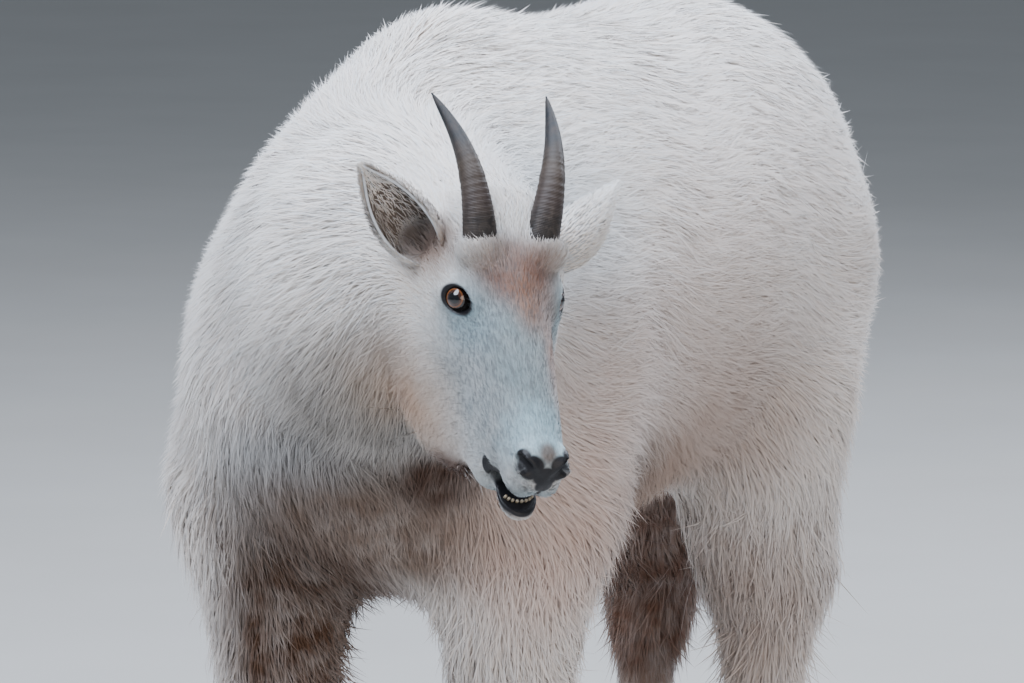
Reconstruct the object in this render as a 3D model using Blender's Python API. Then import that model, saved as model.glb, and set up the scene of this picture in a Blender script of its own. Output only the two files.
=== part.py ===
"""Mountain goat, life size, standing with its head turned to its left, as a museum model shows it.

The goat faces -Y, its left side is +X, and the floor is z = 0. Lengths are metres.
The body is a smooth blend of named forms, meshed once and parted with thin cuts.
"""
import math

import bmesh
import bpy
import numpy as np
from mathutils import Matrix, Vector

# Working gap between touching parts, and mesh detail
GAP = 0.0003
BODY_STEP = 0.011
HEAD_STEP = 0.0022
BLOCK = 6
BODY_TRIANGLES = 3260
HEAD_TRIANGLES = 2300

# Trunk, measured to the tips of the coat
TRUNK_FRONT = -0.520
CHEST_START = -0.280
RUMP_START = 0.200
TRUNK_BACK = 0.445
WITHERS_TOP = 0.945
LOIN_TOP = 0.912
RUMP_TOP = 0.925
CHEST_BOTTOM = 0.355
BELLY_BOTTOM = 0.400
GROIN_BOTTOM = 0.450
SHOULDER_HALF = 0.215
BARREL_HALF = 0.230
RUMP_HALF = 0.200

# Neck, from inside the shoulders to the back of the skull
NECK_BASE = (0.045, -0.355, 0.670)
NECK_MIDDLE = (0.110, -0.450, 0.695)
NECK_BASE_RADIUS = 0.175
NECK_MIDDLE_RADIUS = 0.135

# Head: where the horns grow, which way it looks, and its size
HORN_ROOT = (0.285, -0.545, 0.752)
HEAD_YAW = math.radians(55.6)
HEAD_PITCH = math.radians(59.6)
HEAD_ROLL = math.radians(3.9)
HEAD_SIZE = 1.0
SKULL_CUT = (0.0, 0.0, -0.118)
SKULL_TILT = math.radians(30)
SKULL_HALF = 0.100
EYE_RADIUS = 0.0162
EYE_PLACE = (0.0435, -0.0450, -0.0390)
EYE_FACING = (0.720, -0.350, 0.600)
EYE_SLANT = (-0.635, -0.681, 0.365)
NOSE_PAD = ((0.0, -0.2450, -0.0150), (0.0340, 0.0300, 0.0200))
MOUTH_CORNER = (0.0, -0.2010, -0.0787)
MOUTH_FRONT = (0.0, -0.2470, -0.0640)
MOUTH_SLOPE = 0.32
JAW_BOX = (0.06, 0.05, 0.05)

# Legs: half the track, and where each foot stands along the body
TRACK_HALF = 0.115
FORE_LEFT_Y = -0.278
FORE_RIGHT_Y = -0.344
HIND_LEFT_Y = 0.190
HIND_RIGHT_Y = 0.342
LEG_CUT = 0.430
LEG_BOX_INNER = 0.030
LEG_BOX_HALF = 0.150
SHIN_CUT = 0.235
ELBOW_HEIGHT = 0.465
KNEE_HEIGHT = 0.285
HOCK_HEIGHT = 0.330
FETLOCK_HEIGHT = 0.095
HOOF_HEIGHT = 0.052
HOOF_LENGTH = 0.082
HOOF_WIDTH = 0.039
TOE_SPREAD = 0.0200
TOE_AHEAD = 0.0520
CLAW_SPREAD = 0.0165
CLAW_BEHIND = 0.0180

# Lower front teeth
TEETH = 8
TEETH_NOTCH = 0.0009
TEETH_SLACK = 0.06
TEETH_ROOT = -0.0850
TEETH_EDGE = -0.0705

# Horns
HORN_LENGTH = 0.163
HORN_SPREAD = 0.023
HORN_BULGE = 0.029
HORN_RADIUS = 0.0175
HORN_RINGS = 15

# Ears
EAR_LENGTH = 0.118
EAR_HALF = 0.027
EAR_WALL = 0.0035
EAR_ROWS = 7
EAR_COLUMNS = 6
EAR_SLACK = 0.06
EAR_LEFT_LIE = (0.860, 0.500, 0.080)
EAR_RIGHT_LIE = (-0.740, 0.400, 0.540)
EAR_LEFT_OPENING = (0.490, -0.780, -0.390)
EAR_RIGHT_OPENING = (-0.500, -0.600, 0.800)

# Tail
TAIL_ROOT = (0.0, 0.380, 0.810)
TAIL_TIP = (0.0, 0.480, 0.695)
TAIL_CUT = 0.435

# Coat: how far the core lies under the tips, then the locks' spacing, length and width
CORE_SHORT = 0.010
CORE_LONG = 0.020
SHORT_COAT = (0.098, 0.165, 0.062)
LONG_COAT = (0.083, 0.140, 0.055)
BEARD = (0.021, 0.060, 0.019)
BEARD_ROOT = 0.009
BEARD_LIE = (0.10, -0.05, -1.0)
LOCK_SEED = 5
LOCK_JITTER = 0.15
LOCK_SHARES = (0.0, 0.32, 0.68, 1.0)
LOCK_FULLNESS = (0.55, 1.0, 0.80, 0.0)
LOCK_ROOT = 0.009
TIP_OUT = 0.004
KNEE_HAIR_END = 0.235

# Looks of each material: colour, roughness
COAT = ("coat", (0.780, 0.740, 0.690), 0.90)
FACE = ("face_fur", (0.720, 0.700, 0.680), 0.85)
NOSE = ("nose_leather", (0.030, 0.028, 0.030), 0.45)
HORN = ("horn", (0.075, 0.070, 0.075), 0.50)
HOOF = ("hoof", (0.060, 0.052, 0.048), 0.60)
EYE = ("eye", (0.090, 0.035, 0.012), 0.08)
TOOTH = ("tooth", (0.720, 0.640, 0.500), 0.35)


# Fields: negative inside, positive outside, about one metre per metre

def blend(first, second, width):
    """Smooth union of two fields."""
    mix = np.clip(0.5 + 0.5 * (second - first) / width, 0.0, 1.0)
    return second * (1.0 - mix) + first * mix - width * mix * (1.0 - mix)


def carve(solid, hollow, width):
    """Smooth difference of two fields."""
    return -blend(-solid, hollow, width)


def ball(points, centre, radii):
    """An ellipsoid with its axes along the frame's."""
    offset = points - np.array(centre)
    near = np.linalg.norm(offset / np.array(radii), axis=1)
    far = np.linalg.norm(offset / np.array(radii) ** 2, axis=1)
    return near * (near - 1.0) / np.maximum(far, 1e-6)


def limb(points, start, end, start_radius, end_radius, squash=(1.0, 1.0, 1.0)):
    """A rod that tapers between two round ends. Squash widens it along the frame's axes."""
    scale = np.array(squash)
    start, end = np.array(start) / scale, np.array(end) / scale
    offset = points / scale - start
    along = end - start
    share = np.clip(offset @ along / (along @ along), 0.0, 1.0)
    reach = np.linalg.norm(offset - share[:, None] * along, axis=1)
    return (reach - start_radius - share * (end_radius - start_radius)) * min(squash)


def profile(places, values, where):
    """A line through named values, rounded where it bends."""
    spread = 0.045
    shifts = (-spread, -spread / 2, 0.0, spread / 2, spread)
    return sum(np.interp(where + shift, places, values) for shift in shifts) / len(shifts)


def trunk(points):
    """Chest, barrel and rump as one lofted form along the body, rounded at both ends."""
    places = (-0.45, -0.35, -0.25, -0.13, -0.05, 0.08, 0.20, 0.36)
    top = (0.770, 0.870, WITHERS_TOP, 0.932, LOIN_TOP, 0.915, RUMP_TOP, 0.900)
    low = (0.395, 0.365, CHEST_BOTTOM, 0.375, BELLY_BOTTOM, 0.420, GROIN_BOTTOM, 0.500)
    half = (0.190, 0.205, SHOULDER_HALF, 0.225, BARREL_HALF, 0.225, RUMP_HALF, 0.175)
    y = points[:, 1]
    upper, lower = profile(places, top, y), profile(places, low, y)
    wide = profile(places, half, y)
    middle, tall = (upper + lower) / 2, (upper - lower) / 2
    rise = (points[:, 2] - middle) / tall
    # The trunk is narrower at the withers than at the barrel
    narrow = np.interp(y, (-0.30, 0.0, 0.25), (0.50, 0.22, 0.14))
    wide = wide * (1.0 - narrow * np.clip(rise, 0.0, 1.0) ** 1.5)
    across = np.abs(points[:, 0]) / wide
    ahead = (CHEST_START - y) / (CHEST_START - TRUNK_FRONT)
    behind = (y - RUMP_START) / (TRUNK_BACK - RUMP_START)
    along = np.maximum(np.maximum(ahead, behind), 0.0)
    power = 2.25
    reach = (across ** power + np.abs(rise) ** power + along ** power) ** (1.0 / power)
    return (reach - 1.0) * np.minimum(wide, tall)


def leg_lines():
    """For each leg its name, side, foot y and whether it is a foreleg."""
    return (
        ("fore_left", 1, FORE_LEFT_Y, True),
        ("fore_right", -1, FORE_RIGHT_Y, True),
        ("hind_left", 1, HIND_LEFT_Y, False),
        ("hind_right", -1, HIND_RIGHT_Y, False),
    )


def leg(points, side, foot_y, fore):
    """One leg with its breeches of long hair, from inside the trunk to the pastern."""
    x = side * TRACK_HALF
    if fore:
        shoulder = (side * 0.100, -0.270, 0.620)
        elbow = (side * 0.120, (foot_y - 0.300) / 2, ELBOW_HEIGHT)
        knee = (x, foot_y, KNEE_HEIGHT)
        field = limb(points, shoulder, elbow, 0.130, 0.112)
        field = blend(field, limb(points, elbow, knee, 0.112, 0.060), 0.03)
        field = blend(field, limb(points, knee, (x, foot_y, 0.245), 0.060, 0.046), 0.02)
        joint_y, top_radius, top = foot_y, 0.033, knee
    else:
        hip = (side * 0.080, 0.225, 0.640)
        stifle = (side * 0.115, 0.6 * foot_y + 0.045, 0.530)
        hock = (x, foot_y + 0.030, HOCK_HEIGHT)
        field = limb(points, hip, stifle, 0.140, 0.120)
        field = blend(field, limb(points, stifle, hock, 0.120, 0.068), 0.03)
        field = blend(field, limb(points, hock, (x, foot_y + 0.026, 0.265), 0.068, 0.050), 0.02)
        joint_y, top_radius, top = foot_y + 0.014, 0.034, hock
    fetlock = (x, joint_y - 0.004, FETLOCK_HEIGHT)
    pastern = (x, joint_y - 0.026, HOOF_HEIGHT - 0.004)
    field = blend(field, limb(points, top, fetlock, top_radius, 0.029), 0.02)
    return blend(field, limb(points, fetlock, pastern, 0.033, 0.0284), 0.01)


def head_frame():
    """Turns head measures into the body's frame: x left, y back from the nose, z off the brow."""
    nod = Matrix.Rotation(HEAD_PITCH, 4, "X")
    tilt = Matrix.Rotation(HEAD_ROLL, 4, "Y")
    turn = Matrix.Rotation(HEAD_YAW, 4, "Z")
    return Matrix.Translation(HORN_ROOT) @ turn @ tilt @ nod @ Matrix.Scale(HEAD_SIZE, 4)


def placed(place):
    """A point of the head in the body's frame."""
    return tuple(head_frame() @ Vector(place))


def neck(points):
    """The neck, wide at the shoulders, with its hair as far as the skull."""
    end = placed((0.0, 0.012, -0.105))
    throat = placed((0.0, -0.060, -0.130))
    field = limb(points, NECK_BASE, NECK_MIDDLE, NECK_BASE_RADIUS, NECK_MIDDLE_RADIUS, (1, 1, 1.08))
    field = blend(field, limb(points, NECK_MIDDLE, end, NECK_MIDDLE_RADIUS, 0.088), 0.05)
    return blend(field, limb(points, NECK_MIDDLE, throat, 0.120, 0.070), 0.04)


def body(points):
    """Trunk, neck, legs and tail in one field."""
    field = blend(trunk(points), neck(points), 0.07)
    for _, side, foot_y, fore in leg_lines():
        field = blend(field, leg(points, side, foot_y, fore), 0.045)
    return blend(field, limb(points, TAIL_ROOT, TAIL_TIP, 0.050, 0.022), 0.03)


def long_share(points):
    """How long the coat is at each point: 1 on chest, belly and breeches, 0 on the back."""
    low = np.clip((0.66 - points[:, 2]) / 0.14, 0.0, 1.0)
    chest = np.clip((-0.36 - points[:, 1]) / 0.08, 0.0, 1.0)
    return np.maximum(low, chest)


def core_depth(points):
    """How far the core lies below the tips: nothing on the shins and beside the skull."""
    depth = CORE_SHORT + (CORE_LONG - CORE_SHORT) * long_share(points)
    depth = depth * np.clip((points[:, 2] - KNEE_HAIR_END) / 0.09, 0.0, 1.0)
    away = np.linalg.norm(points - np.array(placed((0.0, 0.0, -0.090))), axis=1)
    depth = depth * np.clip((away - 0.13) / 0.09, 0.0, 1.0)
    return depth * np.clip((0.47 - points[:, 1]) / 0.06, 0.35, 1.0)


def body_core(points):
    """The body below its locks."""
    return body(points) + core_depth(points)


def lie(points):
    """Which way the coat lies: back on neck and trunk, down on chest, belly, rump and legs."""
    low = np.clip((0.80 - points[:, 2]) / 0.28, 0.0, 1.0)
    ends = np.clip((-0.38 - points[:, 1]) / 0.10, 0.0, 1.0)
    ends = np.maximum(ends, np.clip((points[:, 1] - 0.30) / 0.12, 0.0, 1.0))
    down = np.maximum(0.35 + 0.55 * low, 0.95 * ends)
    back = 0.90 - 0.55 * low
    back = back * (1.0 - ends) + 0.15 * (ends > 0) * (points[:, 1] > 0)
    away = 0.25 * np.sign(points[:, 0]) * (points[:, 2] > 0.75)
    return np.stack([away, back, -down], 1)


def eye_turn():
    """The left eye's own directions: along the lids to the inner corner, across them, outward."""
    out = Vector(EYE_FACING).normalized()
    slant = Vector(EYE_SLANT)
    slant = (slant - out * slant.dot(out)).normalized()
    return Matrix((slant, out.cross(slant), out)).transposed()


def head(points):
    """The head with brow, sockets, lids, cheeks, nostrils, lips and open mouth."""
    mirrored = np.abs(points) * (1, 0, 0) + points * (0, 1, 1)
    field = ball(points, (0, 0.004, -0.055), (0.058, 0.066, 0.056))
    bridge = limb(points, (0, -0.030, -0.043), (0, -0.185, -0.032), 0.045, 0.031, (0.95, 1, 1))
    field = blend(field, bridge, 0.03)
    field = blend(field, limb(points, (0, -0.060, -0.085), (0, -0.190, -0.058), 0.048, 0.030), 0.02)
    field = blend(field, ball(mirrored, (0.034, -0.046, -0.033), (0.022, 0.030, 0.025)), 0.014)
    field = blend(field, ball(mirrored, (0.030, -0.045, -0.095), (0.033, 0.066, 0.058)), 0.025)
    jaw = limb(mirrored, (0.024, -0.050, -0.130), (0.009, -0.205, -0.081), 0.037, 0.020)
    field = blend(field, jaw, 0.02)
    # Nose, upper lip and chin
    field = blend(field, ball(points, (0, -0.213, -0.029), (0.028, 0.033, 0.029)), 0.008)
    field = blend(field, ball(mirrored, (0.012, -0.214, -0.043), (0.018, 0.031, 0.0145)), 0.008)
    field = blend(field, ball(points, (0, -0.226, -0.083), (0.021, 0.027, 0.015)), 0.010)
    # What the locks of the short beard grow from
    beard = limb(points, (0, -0.080, -0.132), (0, -0.155, -0.138), 0.036, 0.016, (0.8, 1, 1))
    field = blend(field, beard, 0.03)
    # Woolly crown between the ears and round the horns
    field = blend(field, ball(points, (0, 0.022, -0.018), (0.048, 0.036, 0.026)), 0.02)
    # Wings of the nostrils
    field = blend(field, ball(mirrored, (0.018, -0.224, -0.012), (0.0125, 0.016, 0.011)), 0.007)
    # Lids, then the opening between them
    at_eye = (mirrored - np.array(EYE_PLACE)) @ np.array(eye_turn())
    field = blend(field, ball(at_eye, (0, 0, 0), (0.0225, 0.0195, 0.0187)), 0.006)
    field = carve(field, ball(at_eye, (0, 0, 0.0170), (0.0142, 0.0108, 0.0105)), 0.002)
    # Nostrils, then the gape, which slopes down to the mouth's corners
    slit = limb(mirrored, (0.0255, -0.2215, -0.0115), (0.0170, -0.2330, -0.0150), 0.0042, 0.0050)
    field = carve(field, slit, 0.003)
    slit = limb(mirrored, (0.0170, -0.2330, -0.0150), (0.0075, -0.2420, -0.0160), 0.0048, 0.0030)
    field = carve(field, slit, 0.003)
    slanted = points + np.array((0, 0, 1)) * MOUTH_SLOPE * (points[:, 1:2] - MOUTH_FRONT[1])
    return carve(field, ball(slanted, MOUTH_FRONT, (0.042, 0.050, 0.0085)), 0.002)


def head_and_neck(points):
    """The head in the body's frame, blended into the neck."""
    inverse = np.array(head_frame().inverted())
    local = points @ inverse[:3, :3].T + inverse[:3, 3]
    field = blend(head(local) * HEAD_SIZE, body(points), 0.022)
    # It ends a little behind the cut that parts it from the neck
    behind = (local - SKULL_CUT) @ (0.0, math.sin(SKULL_TILT), -math.cos(SKULL_TILT)) - 0.012
    beside = np.abs(local[:, 0]) - SKULL_HALF
    return np.maximum(np.maximum(field, behind), beside - 0.004)


# Meshing

def surface(name, field, low, high, step):
    """A closed mesh on the zero level of a field, found in the tetrahedra of a grid."""
    low = np.array(low)
    blocks = np.ceil((np.array(high) - low) / (step * BLOCK)).astype(int)
    counts = blocks * BLOCK
    middles = low + step * BLOCK * (np.indices(blocks).reshape(3, -1).T + 0.5)
    value = field(middles).reshape(blocks)
    for axis in range(3):
        value = np.repeat(value, BLOCK, axis)
    near = np.argwhere(np.abs(value) < 1.3 * step * BLOCK)
    for part in np.array_split(near, 24):
        value[tuple(part.T)] = field(low + part * step)
    value = value.ravel()
    cells = np.argwhere(np.ones(counts - 1, bool))
    strides = np.array([counts[1] * counts[2], counts[2], 1])
    first = cells @ strides
    diagonal = int(strides.sum())
    mixed = np.zeros(len(first), int)
    for corner in np.indices((2, 2, 2)).reshape(3, -1).T:
        mixed += value[first + int(corner @ strides)] < 0
    first = first[(mixed > 0) & (mixed < 8)]
    corners = []
    for one, two in ((0, 1), (1, 2), (2, 0), (1, 0), (2, 1), (0, 2)):
        middle = first + strides[one]
        corners.append(np.stack([first, middle, middle + strides[two], first + diagonal], 1))
    corners = np.concatenate(corners)
    inner = value[corners] < 0
    count = inner.sum(1)
    order = np.argsort(~inner, axis=1, kind="stable")
    corners = np.take_along_axis(corners, order, 1)
    # The pairs of corners whose edges a triangle's points lie on, for one, two or three inside
    cuts = {1: (((0, 1), (0, 2), (0, 3)),), 3: (((3, 0), (3, 1), (3, 2)),),
            2: (((0, 2), (0, 3), (1, 3)), ((0, 2), (1, 3), (1, 2)))}
    pairs, seeds = [], []
    for many, triangles in cuts.items():
        chosen = corners[count == many]
        for triangle in triangles:
            pairs.append(np.stack([np.sort(chosen[:, ends], axis=1) for ends in triangle], 1))
            seeds.append(chosen[:, 0])
    pairs, seeds = np.concatenate(pairs), np.concatenate(seeds)
    edges, faces = np.unique(pairs.reshape(-1, 2), axis=0, return_inverse=True)
    faces = faces.reshape(-1, 3)
    start, end = value[edges[:, 0]], value[edges[:, 1]]
    share = np.clip(start / (start - end), 0.1, 0.9)[:, None]
    ends = [low + step * np.stack(np.unravel_index(edges[:, side], counts), 1) for side in (0, 1)]
    points = ends[0] * (1 - share) + ends[1] * share
    inside = low + step * np.stack(np.unravel_index(seeds, counts), 1)
    corner = points[faces]
    normal = np.cross(corner[:, 1] - corner[:, 0], corner[:, 2] - corner[:, 0])
    inward = ((corner.mean(1) - inside) * normal).sum(1) < 0
    faces[inward] = faces[inward][:, ::-1]
    points = settle(field, points, step / 4)
    return mesh_object(name, points, faces.tolist())


def slope(field, points, step):
    """The field's gradient at each point."""
    shifts = np.eye(3) * step
    return np.stack([field(points + shift) - field(points - shift) for shift in shifts], 1) / (2 * step)


def settle(field, points, step):
    """Moves points along the gradient to the zero level."""
    gradient = slope(field, points, step)
    length = np.maximum((gradient ** 2).sum(1), 1e-3)
    move = np.clip(field(points) / length, -2 * step, 2 * step)
    return points - move[:, None] * gradient


def mesh_object(name, points, faces):
    """A new object in the scene from points and faces, each face cut into a fan of triangles."""
    mesh = bpy.data.meshes.new(name)
    fans = [(face[0], face[k], face[k + 1]) for face in faces for k in range(1, len(face) - 1)]
    mesh.from_pydata([tuple(map(float, point)) for point in points], [], fans)
    obj = bpy.data.objects.new(name, mesh)
    bpy.context.scene.collection.objects.link(obj)
    return obj


def applied(obj):
    """Applies all modifiers of an object."""
    bpy.context.view_layer.update()
    graph = bpy.context.evaluated_depsgraph_get()
    mesh = bpy.data.meshes.new_from_object(obj.evaluated_get(graph))
    obj.modifiers.clear()
    old, obj.data = obj.data, mesh
    bpy.data.meshes.remove(old)
    return obj


def lightened(obj, triangles):
    """Cuts a mesh down to about this many triangles."""
    count = sum(len(face.vertices) - 2 for face in obj.data.polygons)
    modifier = obj.modifiers.new("fewer", "DECIMATE")
    modifier.ratio = min(1.0, triangles / count)
    return applied(obj)


def largest_only(obj):
    """Keeps the largest closed surface of a mesh."""
    mesh = bmesh.new()
    mesh.from_mesh(obj.data)
    todo, best = set(mesh.verts), []
    while todo:
        shell = {todo.pop()}
        rim = list(shell)
        while rim:
            near = {side.other_vert(vert) for vert in rim for side in vert.link_edges} - shell
            shell |= near
            rim = list(near)
        todo -= shell
        best = max(best, shell, key=len)
    bmesh.ops.delete(mesh, geom=[vert for vert in mesh.verts if vert not in best], context="VERTS")
    mesh.to_mesh(obj.data)
    mesh.free()
    return obj


def boolean(obj, other, operation):
    """Combines an object with another one, which stays."""
    modifier = obj.modifiers.new(operation.lower(), "BOOLEAN")
    modifier.operation = operation
    modifier.solver = "EXACT"
    modifier.object = other
    return applied(obj)


def removed(*objects):
    for obj in objects:
        bpy.data.objects.remove(obj)


def box(centre, half, turn=None, grow=0.0):
    """A cutting box with its half sides, turned about its centre and grown on all sides."""
    corners = [(x, y, z) for x in (-1, 1) for y in (-1, 1) for z in (-1, 1)]
    turn = turn or Matrix.Identity(4)
    points = [
        Vector(centre) + turn.to_3x3() @ Vector([s * (h + grow) for s, h in zip(corner, half)])
        for corner in corners
    ]
    faces = [(0, 1, 3, 2), (4, 6, 7, 5), (0, 4, 5, 1), (2, 3, 7, 6), (0, 2, 6, 4), (1, 5, 7, 3)]
    return mesh_object("cutter", points, faces)


def copied(obj, name):
    twin = obj.copy()
    twin.data = obj.data.copy()
    twin.name = name
    bpy.context.scene.collection.objects.link(twin)
    return twin


def parted(source, name, centre, half, turn=None):
    """Takes the part of a mesh inside a box as a new object, and leaves a gap round it."""
    inner = box(centre, half, turn)
    outer = box(centre, half, turn, GAP)
    piece = boolean(copied(source, name), inner, "INTERSECT")
    boolean(source, outer, "DIFFERENCE")
    removed(inner, outer)
    return largest_only(piece)


def lathe(name, centres, radii, sides):
    """A closed tube through centres, with a radius or a pair of radii to each ring."""
    centres = [Vector(centre) for centre in centres]
    points, faces = [], []
    guide = Vector((1.0, 0.0, 0.0))
    last = len(centres) - 1
    for number, centre in enumerate(centres):
        along = (centres[min(number + 1, last)] - centres[max(number - 1, 0)]).normalized()
        side = (guide - along * guide.dot(along)).normalized()
        up = along.cross(side)
        for step in range(sides):
            angle = 2 * math.pi * step / sides
            points.append(centre + radii[number] * (math.cos(angle) * side + math.sin(angle) * up))
    for number in range(last):
        for step in range(sides):
            here, after = number * sides + step, number * sides + (step + 1) % sides
            faces.append((here, after, after + sides, here + sides))
    faces.append(tuple(reversed(range(sides))))
    faces.append(tuple(range(last * sides, (last + 1) * sides)))
    return mesh_object(name, points, faces)


def horn(name, side, grow=0.0):
    """One horn, ringed near its root, curving up and back to a sharp tip."""
    root = Vector((side * 0.0315, -0.010, -0.010))
    centres, radii = [], []
    for number in range(HORN_RINGS + 1):
        share = number / HORN_RINGS
        out = HORN_SPREAD * share
        bulge = HORN_BULGE * math.sin(math.pi * share ** 0.9)
        reach = share * HORN_LENGTH
        local = root + Vector((side * out, reach, bulge))
        swell = 0.0007 * (number % 2) * (share < 0.6)
        taper = (1.0 - share) ** 0.62 * (1.0 - 0.18 * share)
        centres.append(placed(local))
        radii.append(max(HORN_RADIUS * taper + swell, 0.0012) + grow)
    return lathe(name, centres, radii, 9)


def ear(name, side, grow=0.0):
    """One ear: a leaf rolled to a cup at its base. Its seat, grown, has the cup filled."""
    root = Vector((side * 0.050, 0.021, -0.072))
    along = Vector(EAR_LEFT_LIE if side > 0 else EAR_RIGHT_LIE).normalized()
    opening = Vector(EAR_LEFT_OPENING if side > 0 else EAR_RIGHT_OPENING)
    opening = (opening - along * opening.dot(along)).normalized()
    across = along.cross(opening) * side
    outer, inner = [], []
    for row in range(EAR_ROWS + 1):
        share = row / EAR_ROWS
        swell = 0.30 + 0.70 * math.sin(math.pi * (0.12 + share * 0.88))
        half = EAR_HALF * swell * (1.0 - share ** 5)
        roll = math.radians(158 - 92 * share)
        turns = [roll * (2.0 * column / EAR_COLUMNS - 1.0) for column in range(EAR_COLUMNS + 1)]
        if grow:
            turns = [-roll - EAR_SLACK, *turns, roll + EAR_SLACK]
        radius = half / max(math.sin(min(roll, math.pi / 2)), 0.5) + 0.0016
        centre = root + along * (EAR_LENGTH * share) - opening * (0.010 * share * share)
        centre += opening * radius * 0.6 - along * (grow if row == 0 else 0.0)
        for angle in turns:
            spoke = across * math.sin(angle) - opening * math.cos(angle)
            hollow = 0.0008 if grow else max(radius - EAR_WALL, 0.0008)
            outer.append(placed(centre + spoke * (radius + grow)))
            inner.append(placed(centre + spoke * hollow))
    wide, back = len(turns), len(outer)
    faces = []
    for row in range(EAR_ROWS):
        for column in range(wide - 1):
            here = row * wide + column
            near = back + here
            faces.append((here, here + 1, here + wide + 1, here + wide))
            faces.append((near + wide, near + wide + 1, near + 1, near))
        left, right = row * wide, row * wide + wide - 1
        faces.append((left, left + wide, back + left + wide, back + left))
        faces.append((right + wide, right, back + right, back + right + wide))
    for column in range(wide - 1):
        top = EAR_ROWS * wide + column
        faces.append((column + 1, column, back + column, back + column + 1))
        faces.append((top, top + 1, back + top + 1, back + top))
    return outward(mesh_object(name, outer + inner, faces))


def toe(name, x, y, side, grow=0.0):
    """Half of a cloven hoof, flat underneath, with the toe pointing forward."""
    outline = []
    for step in range(10):
        angle = 2 * math.pi * step / 10
        ahead = -math.cos(angle)
        width = math.sin(angle) * (0.78 if math.sin(angle) * side < 0 else 1.0)
        width *= 1.0 - 0.34 * max(0.0, -ahead) ** 2
        outline.append((width * HOOF_WIDTH / 2, ahead * HOOF_LENGTH / 2))
    levels = ((0.0, 1.0, 0.0), (0.010, 1.0, 0.003), (0.034, 0.88, 0.014), (HOOF_HEIGHT, 0.76, 0.021))
    points, faces = [], []
    for height, size, back in levels:
        for across, ahead in outline:
            wider = size + 2 * grow / HOOF_WIDTH
            lift = grow if height == HOOF_HEIGHT else -grow * (height == 0.0)
            points.append((x + across * wider, y + ahead * wider + back, height + lift))
    count = len(outline)
    for level in range(len(levels) - 1):
        for step in range(count):
            here, after = level * count + step, level * count + (step + 1) % count
            faces.append((here, after, after + count, here + count))
    faces.append(tuple(reversed(range(count))))
    faces.append(tuple(range(count * (len(levels) - 1), count * len(levels))))
    return outward(mesh_object(name, points, faces))


def dew_claw(name, x, y, grow=0.0):
    """A small blunt claw behind the fetlock."""
    start = Vector((x, y, 0.088))
    end = Vector((x, y + 0.020, 0.062))
    centres = [start.lerp(end, share) for share in (0.0, 0.35, 0.7, 1.0)]
    radii = [radius + grow for radius in (0.0085, 0.0095, 0.0080, 0.0040)]
    return lathe(name, centres, radii, 7)


def eye(name, side, grow=0.0):
    mesh = bmesh.new()
    bmesh.ops.create_uvsphere(mesh, u_segments=12, v_segments=7, radius=EYE_RADIUS + grow)
    centre = Vector((side * EYE_PLACE[0], EYE_PLACE[1], EYE_PLACE[2]))
    out = Vector((side * EYE_FACING[0], EYE_FACING[1], EYE_FACING[2]))
    facing = out.to_track_quat("Z", "Y").to_matrix().to_4x4()
    mesh.transform(head_frame() @ Matrix.Translation(centre) @ facing)
    obj = mesh_object(name, [], [])
    mesh.to_mesh(obj.data)
    mesh.free()
    return obj


def tooth_row(name, grow=0.0):
    """The lower front teeth: one curved row with a notch between teeth."""
    steps = 2 * TEETH
    turns = [1.25 * (2.0 * step / steps - 1.0) for step in range(steps + 1)]
    notches = [TEETH_NOTCH * (step % 2 == 0) for step in range(steps + 1)]
    if grow:
        turns = [turns[0] - TEETH_SLACK, *turns, turns[-1] + TEETH_SLACK]
        notches = [TEETH_NOTCH, *notches, TEETH_NOTCH]
    points = []
    for wide, deep, bite in ((0.0150 + grow, 0.0105 + grow, 1.0), (0.0135 - grow, 0.0070 - grow, 0.0)):
        for turn, notch in zip(turns, notches):
            across = wide * math.sin(turn)
            ahead = -0.2235 - (deep - bite * notch) * math.cos(turn)
            points.append(placed((across, ahead, TEETH_ROOT - grow)))
            points.append(placed((across, ahead, TEETH_EDGE - 1.5 * notch + grow)))
    half = len(points) // 2
    faces = []
    for low in range(0, half - 2, 2):
        high = low + 1
        faces.append((low, low + 2, high + 2, high))
        faces.append((half + low, half + high, half + high + 2, half + low + 2))
        faces.append((high, high + 2, half + high + 2, half + high))
        faces.append((low, half + low, half + low + 2, low + 2))
    faces.append((0, 1, half + 1, half))
    faces.append((half - 2, 2 * half - 2, 2 * half - 1, half - 1))
    return outward(mesh_object(name, points, faces))


def outward(obj):
    """Turns all faces of a closed mesh outward."""
    mesh = bmesh.new()
    mesh.from_mesh(obj.data)
    bmesh.ops.recalc_face_normals(mesh, faces=mesh.faces)
    mesh.to_mesh(obj.data)
    mesh.free()
    return obj


def egg(name, centre, radii, grow=0.0):
    """An ellipsoid of the head, for cutting out the nose pad."""
    mesh = bmesh.new()
    bmesh.ops.create_icosphere(mesh, subdivisions=3, radius=1.0)
    scale = Matrix.Diagonal([radius + grow for radius in radii] + [1.0])
    mesh.transform(head_frame() @ Matrix.Translation(centre) @ scale)
    obj = mesh_object(name, [], [])
    mesh.to_mesh(obj.data)
    mesh.free()
    return obj


def nose_from(skull):
    """Takes the bare nose pad off the head as a node of its own."""
    inner, outer = egg("cutter", *NOSE_PAD), egg("cutter", *NOSE_PAD, GAP)
    pad = largest_only(boolean(copied(skull, "nose"), inner, "INTERSECT"))
    boolean(skull, outer, "DIFFERENCE")
    removed(inner, outer)
    return pad


def jaw_from(skull):
    """Takes the lower lip and chin off below the open mouth."""
    tilt = Matrix.Rotation(-math.atan(MOUTH_SLOPE), 4, "X")
    turn = head_frame().to_3x3().to_4x4() @ tilt
    centre = placed(Vector(MOUTH_CORNER) - tilt.to_3x3() @ Vector((0.0, JAW_BOX[1], JAW_BOX[2])))
    return parted(skull, "jaw", centre, JAW_BOX, turn)


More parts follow.
